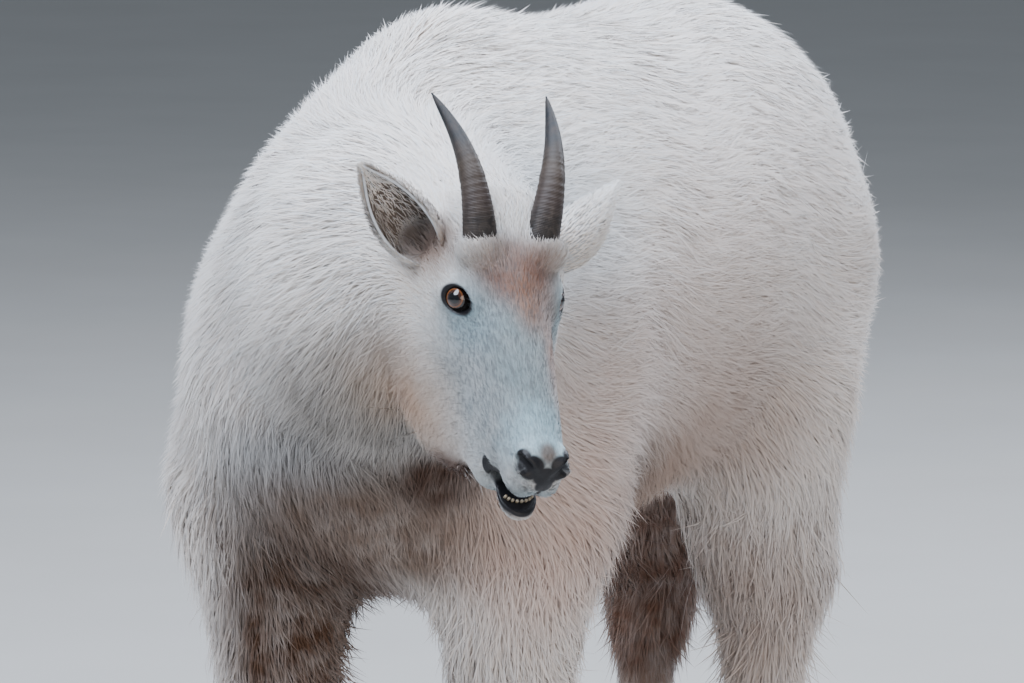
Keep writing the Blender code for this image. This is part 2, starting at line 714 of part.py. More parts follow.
def unit(vectors):
    return vectors / np.maximum(np.linalg.norm(vectors, axis=1), 1e-9)[:, None]


def spread_out(points, spacing, draws):
    """Picks points in a random order, none nearer to a picked one than its spacing."""
    picked = []
    for number in draws.permutation(len(points)):
        if not picked or np.linalg.norm(points[picked] - points[number], axis=1).min() > spacing[number]:
            picked.append(number)
    return np.array(picked)


def lock_rings(field, roots, ways, lengths, depths, tips):
    """Centre, way and outward normal of each ring of many locks, which follow the surface."""
    rings, place = [], roots
    levels = (-depths - LOCK_ROOT, -depths - 0.002, 0.45 * tips - 0.55 * depths, tips)
    for number, level in enumerate(levels):
        normal = unit(slope(field, place, BODY_STEP / 2))
        inward = np.minimum((ways * normal).sum(1), 0.0)
        way = unit(ways - inward[:, None] * normal)
        if number:
            share = LOCK_SHARES[number] - LOCK_SHARES[number - 1]
            place = place + way * (lengths * share)[:, None]
        for _ in range(3):
            height = field(place)
            normal = unit(slope(field, place, BODY_STEP / 2))
            place = place - np.clip(height - level, -0.03, 0.03)[:, None] * normal
        rings.append((place, way, normal))
    return rings


def hanging_rings(field, roots, ways, lengths):
    """Rings of locks that hang free from their roots and bend a little back to the body."""
    normal = unit(slope(field, roots, HEAD_STEP))
    way = unit(ways + 0.55 * normal)
    across = unit(np.cross(way, normal))
    upward = np.cross(across, way)
    start = roots - BEARD_ROOT * way
    rings = []
    for share in LOCK_SHARES:
        place = start + way * (lengths * share)[:, None]
        rings.append((place - upward * (0.16 * lengths * share ** 2)[:, None], way, upward))
    return rings


def sound(rings, lengths):
    """Whether each lock runs on without a fold or a twist."""
    good = np.ones(len(lengths), bool)
    for (start, way, normal), (end, _, turned) in zip(rings, rings[1:]):
        step = end - start
        reach = np.linalg.norm(step, axis=1)
        good &= (reach > 0.16 * lengths) & ((step * way).sum(1) > 0.5 * reach)
        good &= (normal * turned).sum(1) > 0.35
        good &= (np.cross(step, normal) ** 2).sum(1) > (0.5 * reach) ** 2
    return good


def lock(name, rings, number, width):
    """One flat, tapered lock: three-sided rings with a low ridge, ending in a point."""
    points = []
    for (places, ways, normals), fullness in zip(rings[:-1], LOCK_FULLNESS):
        place, way, normal = places[number], ways[number], normals[number]
        across = np.cross(way, normal)
        across /= np.linalg.norm(across)
        half = across * width * fullness / 2
        points += [place + half, place + normal * width * fullness * 0.27, place - half]
    points.append(rings[-1][0][number])
    faces = [(0, 1, 2)]
    for ring in range(len(rings) - 2):
        for side in range(3):
            here, after = 3 * ring + side, 3 * ring + (side + 1) % 3
            faces.append((here, after, after + 3, here + 3))
    last = len(points) - 1
    faces += [(last - 3, last - 2, last), (last - 2, last - 1, last), (last - 1, last - 3, last)]
    return outward(mesh_object(name, points, faces))


def fused(obj, pieces, solver):
    """Joins closed pieces to an object in one union, and removes them."""
    group = bpy.data.collections.new("pieces")
    for piece in pieces:
        group.objects.link(piece)
        bpy.context.scene.collection.objects.unlink(piece)
    modifier = obj.modifiers.new("joined", "BOOLEAN")
    modifier.operation = "UNION"
    modifier.solver = solver
    modifier.operand_type = "COLLECTION"
    modifier.collection = group
    applied(obj)
    removed(*group.objects)
    bpy.data.collections.remove(group)
    return largest_only(obj)


def in_box(points, centre, half, turn=None, grow=0.0):
    """Which points lie inside a cutting box."""
    local = points - np.array(centre)
    if turn is not None:
        local = local @ np.array(turn.to_3x3())
    return (np.abs(local) < np.array(half) + grow).all(1)


def drawn(roots, ways, sizes):
    """Evenly spread roots with their ways, lengths and widths, each varied a little."""
    draws = np.random.default_rng(LOCK_SEED)
    picked = spread_out(roots, sizes[0], draws)
    vary = 1.0 + LOCK_JITTER * draws.uniform(-1.0, 1.0, (2, len(picked)))
    ways = unit(ways[picked]) + draws.normal(0.0, 0.13, (len(picked), 3))
    return roots[picked], ways, sizes[1][picked] * vary[0], sizes[2][picked] * vary[1]


def coat_locks(roots):
    """The locks of trunk, neck and legs, those whose free ends stay on one node."""
    roots, ways, lengths, widths = drawn(roots, lie(roots), long_and_short(roots))
    # They grow shorter toward the knees and hocks and end above the shins
    lengths = np.minimum(lengths, np.maximum(roots[:, 2] - SHIN_CUT - 0.010, 0.045))
    rings = lock_rings(body, roots, ways, lengths, core_depth(roots), np.full(len(roots), TIP_OUT))
    chosen = np.flatnonzero(stays_on_node(rings) & sound(rings, lengths))
    return [lock("lock", rings, number, widths[number]) for number in chosen]


def beard_locks(skull):
    """The locks of the short beard, which hang from the chin and the jaws."""
    roots = np.array([vert.co[:] for vert in skull.data.vertices])
    inverse = np.array(head_frame().inverted())
    local = roots @ inverse[:3, :3].T + inverse[:3, 3]
    under = (local[:, 1] > -0.165) & (local[:, 1] < -0.060) & (local[:, 2] < -0.118)
    roots = roots[under & (np.abs(local[:, 0]) < 0.040)]
    ways = np.tile(BEARD_LIE, (len(roots), 1))
    roots, ways, lengths, widths = drawn(roots, ways, [np.full(len(roots), size) for size in BEARD])
    rings = hanging_rings(head_and_neck, roots, ways, lengths)
    clear = np.all([in_box(places, *skull_box(), grow=-0.006) for places, _, _ in rings], axis=0)
    return [lock("lock", rings, number, widths[number]) for number in np.flatnonzero(clear)]


def material(look):
    name, colour, rough = look
    made = bpy.data.materials.get(name)
    if made is None:
        made = bpy.data.materials.new(name)
        made.use_nodes = True
        shader = made.node_tree.nodes["Principled BSDF"]
        shader.inputs["Base Color"].default_value = (*colour, 1.0)
        shader.inputs["Roughness"].default_value = rough
        shader.inputs["Metallic"].default_value = 0.0
        made.diffuse_color = (*colour, 1.0)
    return made


def painted(obj, look):
    obj.data.materials.clear()
    obj.data.materials.append(material(look))
    return obj


def node_boxes():
    """Name and box of each node that is parted from the body, in the order of the cuts."""
    boxes = []
    for name, side, foot_y, fore in leg_lines():
        middle_y = foot_y if fore else foot_y + 0.03
        half_y = 0.150 if fore else 0.220
        centre_x = side * (LEG_BOX_INNER + LEG_BOX_HALF)
        upper = (centre_x, middle_y, (SHIN_CUT + LEG_CUT) / 2)
        boxes.append((f"leg_{name}", upper, (LEG_BOX_HALF, half_y, (LEG_CUT - SHIN_CUT) / 2), None))
        # The shin's box runs on below the floor
        tall = SHIN_CUT / 2 - GAP / 2 + 0.05
        lower = (centre_x, middle_y, tall - 0.1)
        boxes.append((f"shin_{name}", lower, (LEG_BOX_HALF, half_y, tall), None))
    boxes.append(("tail", (0, TAIL_CUT + 0.10, 0.70), (0.1, 0.10, 0.16), None))
    boxes.append(("neck", *neck_box()))
    return boxes


def long_and_short(points):
    """Spacing, length and width of a lock at each point."""
    share = long_share(points)
    return [short + (long - short) * share for short, long in zip(SHORT_COAT, LONG_COAT)]


def stays_on_node(rings):
    """Whether the free end of each lock stays on the node that its root is fused to."""
    boxes = node_boxes()
    skull = skull_box()

    def region(points):
        found = np.zeros(len(points), int)
        for number, (_, centre, half, turn) in enumerate(boxes):
            found[in_box(points, centre, half, turn)] = number + 1
        return found

    middle = rings[1][0] * 0.6 + rings[2][0] * 0.4
    whole = np.ones(len(middle), bool)
    for places, _, _ in rings:
        whole &= places[:, 2] > SHIN_CUT + 0.006
    for places in (rings[1][0], rings[2][0], rings[3][0]):
        whole &= ~in_box(places, *skull, grow=0.012)
    for places in (rings[2][0], rings[3][0]):
        whole &= region(places) == region(middle)
    return whole


def build_body():
    """Meshes the body below the head, adds its locks and parts it into nodes."""
    low, high = (-0.34, -0.66, 0.0), (0.36, 0.64, 1.02)
    trunk_node = surface("torso", body_core, low, high, BODY_STEP)
    roots = np.array([vert.co[:] for vert in trunk_node.data.vertices])
    roots = roots[(roots[:, 2] > KNEE_HAIR_END + 0.03) & ~in_box(roots, *skull_box(), grow=0.01)]
    lightened(trunk_node, BODY_TRIANGLES)
    fused(trunk_node, coat_locks(roots), "MANIFOLD")
    nodes = [parted(trunk_node, *node_box) for node_box in node_boxes()]
    nodes.append(largest_only(trunk_node))
    return nodes


def neck_box():
    """The box that holds the neck: its near face parts it from the trunk."""
    toward = (Vector(placed((0.0, 0.012, -0.105))) - Vector(NECK_BASE)).normalized()
    turn = toward.to_track_quat("Y", "Z").to_matrix().to_4x4()
    near = Vector(NECK_BASE) + toward * 0.115
    half = (0.26, 0.25, 0.24)
    return near + toward * half[1] + Vector((0, 0, 0.03)), half, turn


def skull_box():
    """The box that holds the head: its back face parts it from the neck."""
    tilt = Matrix.Rotation(SKULL_TILT, 4, "X")
    turn = head_frame().to_3x3().to_4x4() @ tilt
    half = (SKULL_HALF, 0.30, 0.17)
    centre = Vector(placed(SKULL_CUT)) + turn.to_3x3() @ Vector((0, 0, half[2]))
    return centre, half, turn


def main():
    for obj in list(bpy.data.objects):
        bpy.data.objects.remove(obj)
    nodes = {obj.name: painted(obj, COAT) for obj in build_body()}

    low = Vector(HORN_ROOT) - Vector((0.24, 0.24, 0.34))
    high = Vector(HORN_ROOT) + Vector((0.17, 0.20, 0.09))
    skull = surface("skull", head_and_neck, low, high, HEAD_STEP)
    beard = beard_locks(skull)
    fused(lightened(skull, HEAD_TRIANGLES), beard, "EXACT")
    centre, half, turn = skull_box()
    keep = box(centre, half, turn)
    spare = box(centre, half, turn, GAP)
    boolean(skull, keep, "INTERSECT")
    boolean(nodes["neck"], spare, "DIFFERENCE")
    removed(keep, spare)
    largest_only(nodes["neck"])
    largest_only(skull)
    skull.name = "head"
    nodes["nose"] = painted(nose_from(skull), NOSE)
    nodes["jaw"] = painted(jaw_from(skull), FACE)
    nodes["head"] = painted(skull, FACE)
    socket = tooth_row("cutter", GAP)
    boolean(nodes["jaw"], socket, "DIFFERENCE")
    removed(socket)
    largest_only(nodes["jaw"])
    nodes["teeth_lower"] = painted(tooth_row("teeth_lower"), TOOTH)

    for word, side in (("left", 1), ("right", -1)):
        for kind, make, look in (("horn", horn, HORN), ("ear", ear, COAT), ("eye", eye, EYE)):
            socket = make("cutter", side, GAP)
            boolean(skull, socket, "DIFFERENCE")
            if kind == "ear":
                boolean(nodes["neck"], socket, "DIFFERENCE")
            removed(socket)
            nodes[f"{kind}_{word}"] = painted(make(f"{kind}_{word}", side), look)
    largest_only(skull)
    largest_only(nodes["neck"])

    for name, side, foot_y, fore in leg_lines():
        joint_y = foot_y if fore else foot_y + 0.014
        shin = nodes[f"shin_{name}"]
        for word, inner in (("outer", side), ("inner", -side)):
            x = side * TRACK_HALF + inner * TOE_SPREAD
            y = joint_y - TOE_AHEAD
            fit_into(shin, toe, (x, y, inner), nodes, f"hoof_{name}_{word}")
            claw = (side * TRACK_HALF + inner * CLAW_SPREAD, joint_y + CLAW_BEHIND)
            fit_into(shin, dew_claw, claw, nodes, f"dewclaw_{name}_{word}")
    centre_on_floor(nodes.values())


def fit_into(carrier, make, place, nodes, label):
    """Adds a horny piece and cuts its seat in the shin that carries it."""
    seat = make("cutter", *place, GAP)
    largest_only(boolean(carrier, seat, "DIFFERENCE"))
    removed(seat)
    nodes[label] = painted(make(label, *place), HOOF)


def centre_on_floor(objects):
    """Moves all nodes so that the middle of their footprint is at x = 0, y = 0."""
    objects = list(objects)
    points = np.concatenate([
        np.array([vert.co[:] for vert in obj.data.vertices]) for obj in objects
    ])
    middle = (points.min(0) + points.max(0)) / 2
    shift = Matrix.Translation((-middle[0], -middle[1], -points[:, 2].min()))
    for obj in objects:
        obj.data.transform(shift)


main()
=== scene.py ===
import itertools
import math

import bpy
import numpy as np
from mathutils import Matrix, Vector


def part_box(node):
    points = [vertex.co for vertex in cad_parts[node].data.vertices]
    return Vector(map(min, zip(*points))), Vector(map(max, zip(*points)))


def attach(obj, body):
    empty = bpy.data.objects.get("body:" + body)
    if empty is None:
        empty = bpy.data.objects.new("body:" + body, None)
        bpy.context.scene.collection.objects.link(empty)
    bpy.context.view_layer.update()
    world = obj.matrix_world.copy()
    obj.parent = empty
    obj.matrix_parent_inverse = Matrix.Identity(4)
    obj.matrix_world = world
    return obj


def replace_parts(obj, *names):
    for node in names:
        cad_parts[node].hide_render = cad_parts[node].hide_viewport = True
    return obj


# Mountain goat: one skin under a coat of small mesh tufts, with horns, ears, eyes, teeth and hooves
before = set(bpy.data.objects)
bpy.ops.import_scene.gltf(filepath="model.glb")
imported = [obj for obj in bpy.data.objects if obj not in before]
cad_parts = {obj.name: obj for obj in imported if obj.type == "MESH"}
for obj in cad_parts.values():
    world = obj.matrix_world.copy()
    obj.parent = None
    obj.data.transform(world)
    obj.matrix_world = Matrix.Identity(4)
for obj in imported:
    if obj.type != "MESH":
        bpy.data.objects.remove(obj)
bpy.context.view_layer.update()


# Where the body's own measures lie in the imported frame, and how the head is turned
pose = {
    "hornRoot": (0.285, -0.545, 0.752),
    "yaw": 55.6,
    "pitch": 59.6,
    "roll": 3.9,
    "eyePlace": (0.0435, -0.0450, -0.0390),
    "eyeFacing": (0.720, -0.350, 0.600),
    "eyeSlant": (-0.635, -0.681, 0.365),
    "trackHalf": 0.115,
    "footY": {"foreLeft": -0.278, "foreRight": -0.344, "hindLeft": 0.190, "hindRight": 0.342},
}


def headTurn():
    nod = Matrix.Rotation(math.radians(pose["pitch"]), 4, "X")
    tilt = Matrix.Rotation(math.radians(pose["roll"]), 4, "Y")
    turn = Matrix.Rotation(math.radians(pose["yaw"]), 4, "Z")
    return turn @ tilt @ nod


def eyeMiddle(node):
    low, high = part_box(node)
    return (low + high) / 2


headAxes = np.array(headTurn().to_3x3())
eyeHere = (eyeMiddle("eye_left") + eyeMiddle("eye_right")) / 2
eyeRest = Vector((0.0, pose["eyePlace"][1], pose["eyePlace"][2]))
headOrigin = eyeHere - headTurn().to_3x3() @ eyeRest
shift = np.array(headOrigin) - np.array(pose["hornRoot"])
headMatrix = Matrix.Translation(headOrigin) @ headTurn()


def toHead(points):
    return (points - np.array(headOrigin)) @ headAxes


def fromHead(points):
    return np.asarray(points) @ headAxes.T + np.array(headOrigin)


# Camera: the photo's angle, seen from 8 m with a long lens
view = {"azimuth": 32.0, "elevation": 7.0, "distance": 8.0, "pixelsPerMetre": 1070.0,
        "rootAt": (513.0, 238.0), "width": 1024.0, "height": 683.0}


def addCamera():
    turn, rise = math.radians(view["azimuth"]), math.radians(view["elevation"])
    toward = Vector((math.sin(turn) * math.cos(rise), -math.cos(turn) * math.cos(rise), math.sin(rise)))
    right = Vector((math.cos(turn), math.sin(turn), 0.0))
    up = toward.cross(right)
    data = bpy.data.cameras.new("camera")
    camera = bpy.data.objects.new("camera", data)
    bpy.context.scene.collection.objects.link(camera)
    data.sensor_width = 36.0
    data.lens = view["pixelsPerMetre"] * view["distance"] / view["width"] * 36.0
    data.clip_end = 50.0
    across = (view["rootAt"][0] - view["width"] / 2) / view["pixelsPerMetre"]
    above = (view["rootAt"][1] - view["height"] / 2) / view["pixelsPerMetre"]
    place = headOrigin + toward * view["distance"] - right * across + up * above
    axes = Matrix((right, up, toward)).transposed().to_4x4()
    camera.matrix_world = Matrix.Translation(place) @ axes
    bpy.context.scene.camera = camera


addCamera()
print("camera set")


# Forms: fields that are negative inside, in the body's own measures

def blend(first, second, width):
    mix = np.clip(0.5 + 0.5 * (second - first) / width, 0.0, 1.0)
    return second * (1.0 - mix) + first * mix - width * mix * (1.0 - mix)


def carve(solid, hollow, width):
    return -blend(-solid, hollow, width)


def ball(points, centre, radii):
    offset = (points - np.array(centre)) / np.array(radii)
    near = np.sqrt((offset ** 2).sum(1))
    far = np.sqrt(((offset / np.array(radii)) ** 2).sum(1))
    return near * (near - 1.0) / np.maximum(far, 1e-6)


def limb(points, start, end, startRadius, endRadius, squash=(1.0, 1.0, 1.0)):
    scale = np.array(squash)
    start, end = np.array(start) / scale, np.array(end) / scale
    offset = points / scale - start
    along = end - start
    share = np.clip(offset @ along / (along @ along), 0.0, 1.0)
    reach = np.sqrt(((offset - share[:, None] * along) ** 2).sum(1))
    return (reach - startRadius - share * (endRadius - startRadius)) * min(squash)


trunkLines = {
    "places": (-0.45, -0.35, -0.25, -0.13, -0.05, 0.08, 0.20, 0.36),
    "top": (0.770, 0.870, 0.945, 0.932, 0.912, 0.915, 0.925, 0.900),
    "low": (0.395, 0.365, 0.355, 0.375, 0.400, 0.420, 0.450, 0.500),
    "half": (0.190, 0.205, 0.215, 0.225, 0.230, 0.225, 0.200, 0.175),
    "chestStart": -0.280, "front": -0.520, "rumpStart": 0.200, "back": 0.445,
}


def lineThrough(values, where):
    spread = 0.045
    shifts = (-spread, -spread / 2, 0.0, spread / 2, spread)
    return sum(np.interp(where + step, trunkLines["places"], values) for step in shifts) / len(shifts)


def trunkForm(points):
    y = points[:, 1]
    upper, lower = lineThrough(trunkLines["top"], y), lineThrough(trunkLines["low"], y)
    wide = lineThrough(trunkLines["half"], y)
    middle, tall = (upper + lower) / 2, (upper - lower) / 2
    rise = (points[:, 2] - middle) / tall
    narrow = np.interp(y, (-0.30, 0.0, 0.25), (0.50, 0.22, 0.14))
    wide = wide * (1.0 - narrow * np.clip(rise, 0.0, 1.0) ** 1.5)
    across = np.abs(points[:, 0]) / wide
    ahead = (trunkLines["chestStart"] - y) / (trunkLines["chestStart"] - trunkLines["front"])
    behind = (y - trunkLines["rumpStart"]) / (trunkLines["back"] - trunkLines["rumpStart"])
    along = np.maximum(np.maximum(ahead, behind), 0.0)
    power = 2.25
    reach = (across ** power + np.abs(rise) ** power + along ** power) ** (1.0 / power)
    return (reach - 1.0) * np.minimum(wide, tall)


def legForm(points, side, footY, fore):
    x = side * pose["trackHalf"]
    if fore:
        knee = (x, footY, 0.285)
        elbow = (side * 0.120, (footY - 0.300) / 2, 0.465)
        field = limb(points, (side * 0.100, -0.270, 0.620), elbow, 0.130, 0.112)
        field = blend(field, limb(points, elbow, knee, 0.112, 0.060), 0.03)
        field = blend(field, limb(points, knee, (x, footY, 0.245), 0.060, 0.046), 0.02)
        jointY, topRadius = footY, 0.033
    else:
        knee = (x, footY + 0.030, 0.330)
        stifle = (side * 0.115, 0.6 * footY + 0.045, 0.530)
        field = limb(points, (side * 0.080, 0.225, 0.640), stifle, 0.140, 0.120)
        field = blend(field, limb(points, stifle, knee, 0.120, 0.068), 0.03)
        field = blend(field, limb(points, knee, (x, footY + 0.026, 0.265), 0.068, 0.050), 0.02)
        jointY, topRadius = footY + 0.014, 0.034
    fetlock = (x, jointY - 0.004, 0.095)
    field = blend(field, limb(points, knee, fetlock, topRadius, 0.029), 0.02)
    return blend(field, limb(points, fetlock, (x, jointY - 0.026, 0.048), 0.033, 0.0284), 0.01)


def legList():
    for name, footY in pose["footY"].items():
        yield name, (1 if name.endswith("Left") else -1), footY, name.startswith("fore")


def placed(local):
    return tuple(np.array(local) @ headAxes.T + np.array(pose["hornRoot"]))


def neckForm(points):
    middle = (0.110, -0.450, 0.695)
    field = limb(points, (0.045, -0.355, 0.670), middle, 0.175, 0.135, (1, 1, 1.08))
    field = blend(field, limb(points, middle, placed((0.0, 0.012, -0.105)), 0.135, 0.088), 0.05)
    return blend(field, limb(points, middle, placed((0.0, -0.060, -0.130)), 0.120, 0.070), 0.04)


def bodyForm(points):
    field = blend(trunkForm(points), neckForm(points), 0.07)
    for _, side, footY, fore in legList():
        field = blend(field, legForm(points, side, footY, fore), 0.045)
    return blend(field, limb(points, (0.0, 0.380, 0.810), (0.0, 0.480, 0.695), 0.050, 0.022), 0.03)


def eyeTurn():
    # The left eye's own directions: along the lids to the inner corner, across them, and outward
    out = Vector(pose["eyeFacing"]).normalized()
    slant = Vector(pose["eyeSlant"])
    slant = (slant - out * slant.dot(out)).normalized()
    return Matrix((slant, out.cross(slant), out)).transposed()


def mirrored(points):
    # Both sides folded onto the left one
    return np.abs(points) * (1, 0, 0) + points * (0, 1, 1)


headShapes = [
    # how it joins, form, in which of headForm's spaces, its measures, width of the join
    # Muzzle, brow, cheeks, jaw and lips
    (blend, limb, "middle", ((0, -0.030, -0.043), (0, -0.185, -0.032), 0.045, 0.0310, (0.95, 1, 1)), 0.03),
    (blend, limb, "middle", ((0, -0.060, -0.085), (0, -0.190, -0.058), 0.048, 0.0300), 0.02),
    (blend, ball, "both", ((0.034, -0.046, -0.033), (0.022, 0.030, 0.025)), 0.014),
    (blend, ball, "both", ((0.030, -0.045, -0.095), (0.033, 0.066, 0.058)), 0.025),
    (blend, limb, "both", ((0.024, -0.050, -0.130), (0.010, -0.192, -0.092), 0.038, 0.0235), 0.02),
    (blend, ball, "middle", ((0, -0.2130, -0.029), (0.028, 0.0330, 0.029)), 0.008),
    (blend, ball, "both", ((0.012, -0.214, -0.043), (0.018, 0.031, 0.0145)), 0.008),
    (blend, ball, "middle", ((0, -0.226, -0.0800), (0.021, 0.027, 0.0125)), 0.010),
    # Full throat and beard under the jaw
    (blend, ball, "middle", ((0, -0.100, -0.140), (0.064, 0.076, 0.056)), 0.022),
    # Crown, and the woolly seats of the horns
    (blend, ball, "middle", ((0, 0.022, -0.018), (0.048, 0.036, 0.026)), 0.02),
    (blend, ball, "both", ((0.0310, -0.013, -0.008), (0.0250, 0.0200, 0.0225)), 0.008),
    # Nostril wings stand a little proud of the muzzle
    (blend, ball, "both", ((0.0180, -0.2240, -0.0120), (0.0125, 0.0160, 0.0110)), 0.007),
    # Lids, then the opening between them
    (blend, ball, "eye", ((0, 0, 0), (0.0225, 0.0195, 0.0187)), 0.006),
    (carve, ball, "eye", ((0.0010, 0, 0.0170), (0.0150, 0.0104, 0.0110)), 0.0012),
    # The tear groove in front of the eye
    (carve, limb, "both", ((0.0480, -0.074, -0.030), (0.0440, -0.096, -0.032), 0.0024, 0.0014), 0.006),
    # Nostrils, outer part and inner part, and the groove between them
    (carve, limb, "both", ((0.0262, -0.2200, -0.0115), (0.0195, -0.2350, -0.0075), 0.0044, 0.0052), 0.002),
    (carve, limb, "both", ((0.0195, -0.2350, -0.0075), (0.0075, -0.2415, -0.0130), 0.0050, 0.0030), 0.002),
    (carve, limb, "middle", ((0, -0.2480, -0.018), (0, -0.2460, -0.050), 0.0013, 0.0013), 0.003),
    # The open mouth
    (carve, ball, "slanted", ((0, -0.247, -0.0640), (0.042, 0.050, 0.0092)), 0.0015),
]
gapeSlant = 0.32


def headForm(points):
    both = mirrored(points)
    spaces = {"middle": points, "both": both,
              "eye": (both - np.array(pose["eyePlace"])) @ np.array(eyeTurn()),
              "slanted": points + np.array((0, 0, 1)) * (gapeSlant * (points[:, 1:2] + 0.247))}
    field = ball(points, (0, 0.004, -0.055), (0.058, 0.066, 0.056))
    for join, form, space, measures, width in headShapes:
        field = join(field, form(spaces[space], *measures), width)
    return field


# Ears: a rolled leaf each, given by its length, its lie and the way it opens
ear = {"length": 0.118, "half": 0.027, "wall": 0.0026, "lean": 0.010, "rows": 44, "columns": 40,
       "lie": {1: (0.860, 0.500, 0.080), -1: (-0.740, 0.400, 0.540)},
       "open": {1: (0.490, -0.780, -0.390), -1: (-0.500, -0.600, 0.800)},
       "back": ("#8f8a86", "#dfe3e6"), "cup": ("#43372f", "#84766c")}


def earRoot(side):
    return np.array((side * 0.050, 0.021, -0.072))


def earHollow(local):
    # The room that the right ear's cup keeps clear of the neck's fur
    return limb(local, (-0.0600, 0.0150, -0.0580), (-0.1000, 0.0300, -0.0280), 0.0065, 0.0130)


def outerForm(points):
    # The coat's outline: head and body in one field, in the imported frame
    local = toHead(points)
    field = blend(headForm(local), bodyForm(points - shift), 0.022)
    return carve(field, earHollow(local), 0.004)


# Coat: how deep it is over the skin, how long and how wide its tufts are, in metres
coat = {
    "backDepth": 0.010, "longDepth": 0.020, "shinDepth": 0.004, "faceDepth": 0.0016, "cheekDepth": 0.007,
    "kneeHairEnd": 0.235,
    # How long the hair is, and how much longer it gets in places
    "bodyHair": 0.048, "longHair": 0.030, "legHair": 0.012, "shinHair": 0.015,
    "noseHair": 0.0055, "faceHair": 0.0065, "cheekHair": 0.020, "beardHair": 0.004, "hornHair": 0.007,
}


def smooth(value, start, end):
    share = np.clip((value - start) / (end - start), 0.0, 1.0)
    return share * share * (3.0 - 2.0 * share)


def headShare(points):
    # 1 on the head, 0 on the body
    local = toHead(points)
    away = limb(local, (0, 0.02, -0.045), (0, -0.22, -0.055), 0.0, 0.0)
    return 1.0 - smooth(away, 0.085, 0.135)


def longShare(points):
    own = points - shift
    low = np.clip((0.66 - own[:, 2]) / 0.14, 0.0, 1.0)
    chest = np.clip((-0.36 - own[:, 1]) / 0.08, 0.0, 1.0)
    return np.maximum(low, chest)


def coatDepth(points):
    local = toHead(points)
    body = coat["backDepth"] + (coat["longDepth"] - coat["backDepth"]) * longShare(points)
    shin = smooth(points[:, 2], coat["kneeHairEnd"], coat["kneeHairEnd"] + 0.09)
    body = coat["shinDepth"] + (body - coat["shinDepth"]) * shin
    cheek = np.maximum(smooth(-local[:, 2], 0.085, 0.125) * smooth(local[:, 1], -0.19, -0.12),
                       smooth(local[:, 1], -0.02, 0.03))
    face = coat["faceDepth"] + (coat["cheekDepth"] - coat["faceDepth"]) * cheek
    share = headShare(points)
    return face * share + body * (1.0 - share)


def skinForm(points):
    return outerForm(points) + coatDepth(points)


# A grid that is fine round the head and coarser elsewhere
skinGrid = {
    "low": (-0.40, -0.62, -0.02), "high": (0.36, 0.60, 0.98),
    "fineLow": (0.070, -0.575, 0.500), "fineHigh": (0.315, -0.340, 0.800),
    "fine": 0.0023, "coarse": 0.0105, "growth": 1.12, "block": 6,
}


def gradedAxis(low, high, fineLow, fineHigh):
    fine, coarse, growth = skinGrid["fine"], skinGrid["coarse"], skinGrid["growth"]
    middle = list(np.arange(fineLow, fineHigh, fine))
    step, upper = fine, middle[-1]
    while upper < high:
        step = min(step * growth, coarse)
        upper += step
        middle.append(upper)
    step, lower = fine, middle[0]
    while lower > low:
        step = min(step * growth, coarse)
        lower -= step
        middle.insert(0, lower)
    extra = -len(middle) % skinGrid["block"]
    return np.array(middle + [upper + coarse * (number + 1) for number in range(extra)])


def gridValues(field, axes):
    block = skinGrid["block"]
    blocks = [axis.reshape(-1, block) for axis in axes]
    middles = [rows.mean(1) for rows in blocks]
    halves = [(rows[:, -1] - rows[:, 0]) / 2 + 0.006 for rows in blocks]
    centre = np.stack(np.meshgrid(*middles, indexing="ij"), -1).reshape(-1, 3)
    half = np.stack(np.meshgrid(*halves, indexing="ij"), -1).reshape(-1, 3)
    coarse = field(centre)
    near = np.abs(coarse) < 1.35 * np.sqrt((half ** 2).sum(1))
    shape = tuple(len(rows) for rows in middles)
    values = coarse.reshape(shape)
    near = near.reshape(shape)
    for axis in range(3):
        values = np.repeat(values, block, axis)
        near = np.repeat(near, block, axis)
    cells = np.argwhere(near)
    for part in np.array_split(cells, max(1, len(cells) // 150000)):
        spots = np.stack([axes[k][part[:, k]] for k in range(3)], 1)
        values[tuple(part.T)] = field(spots)
    return values


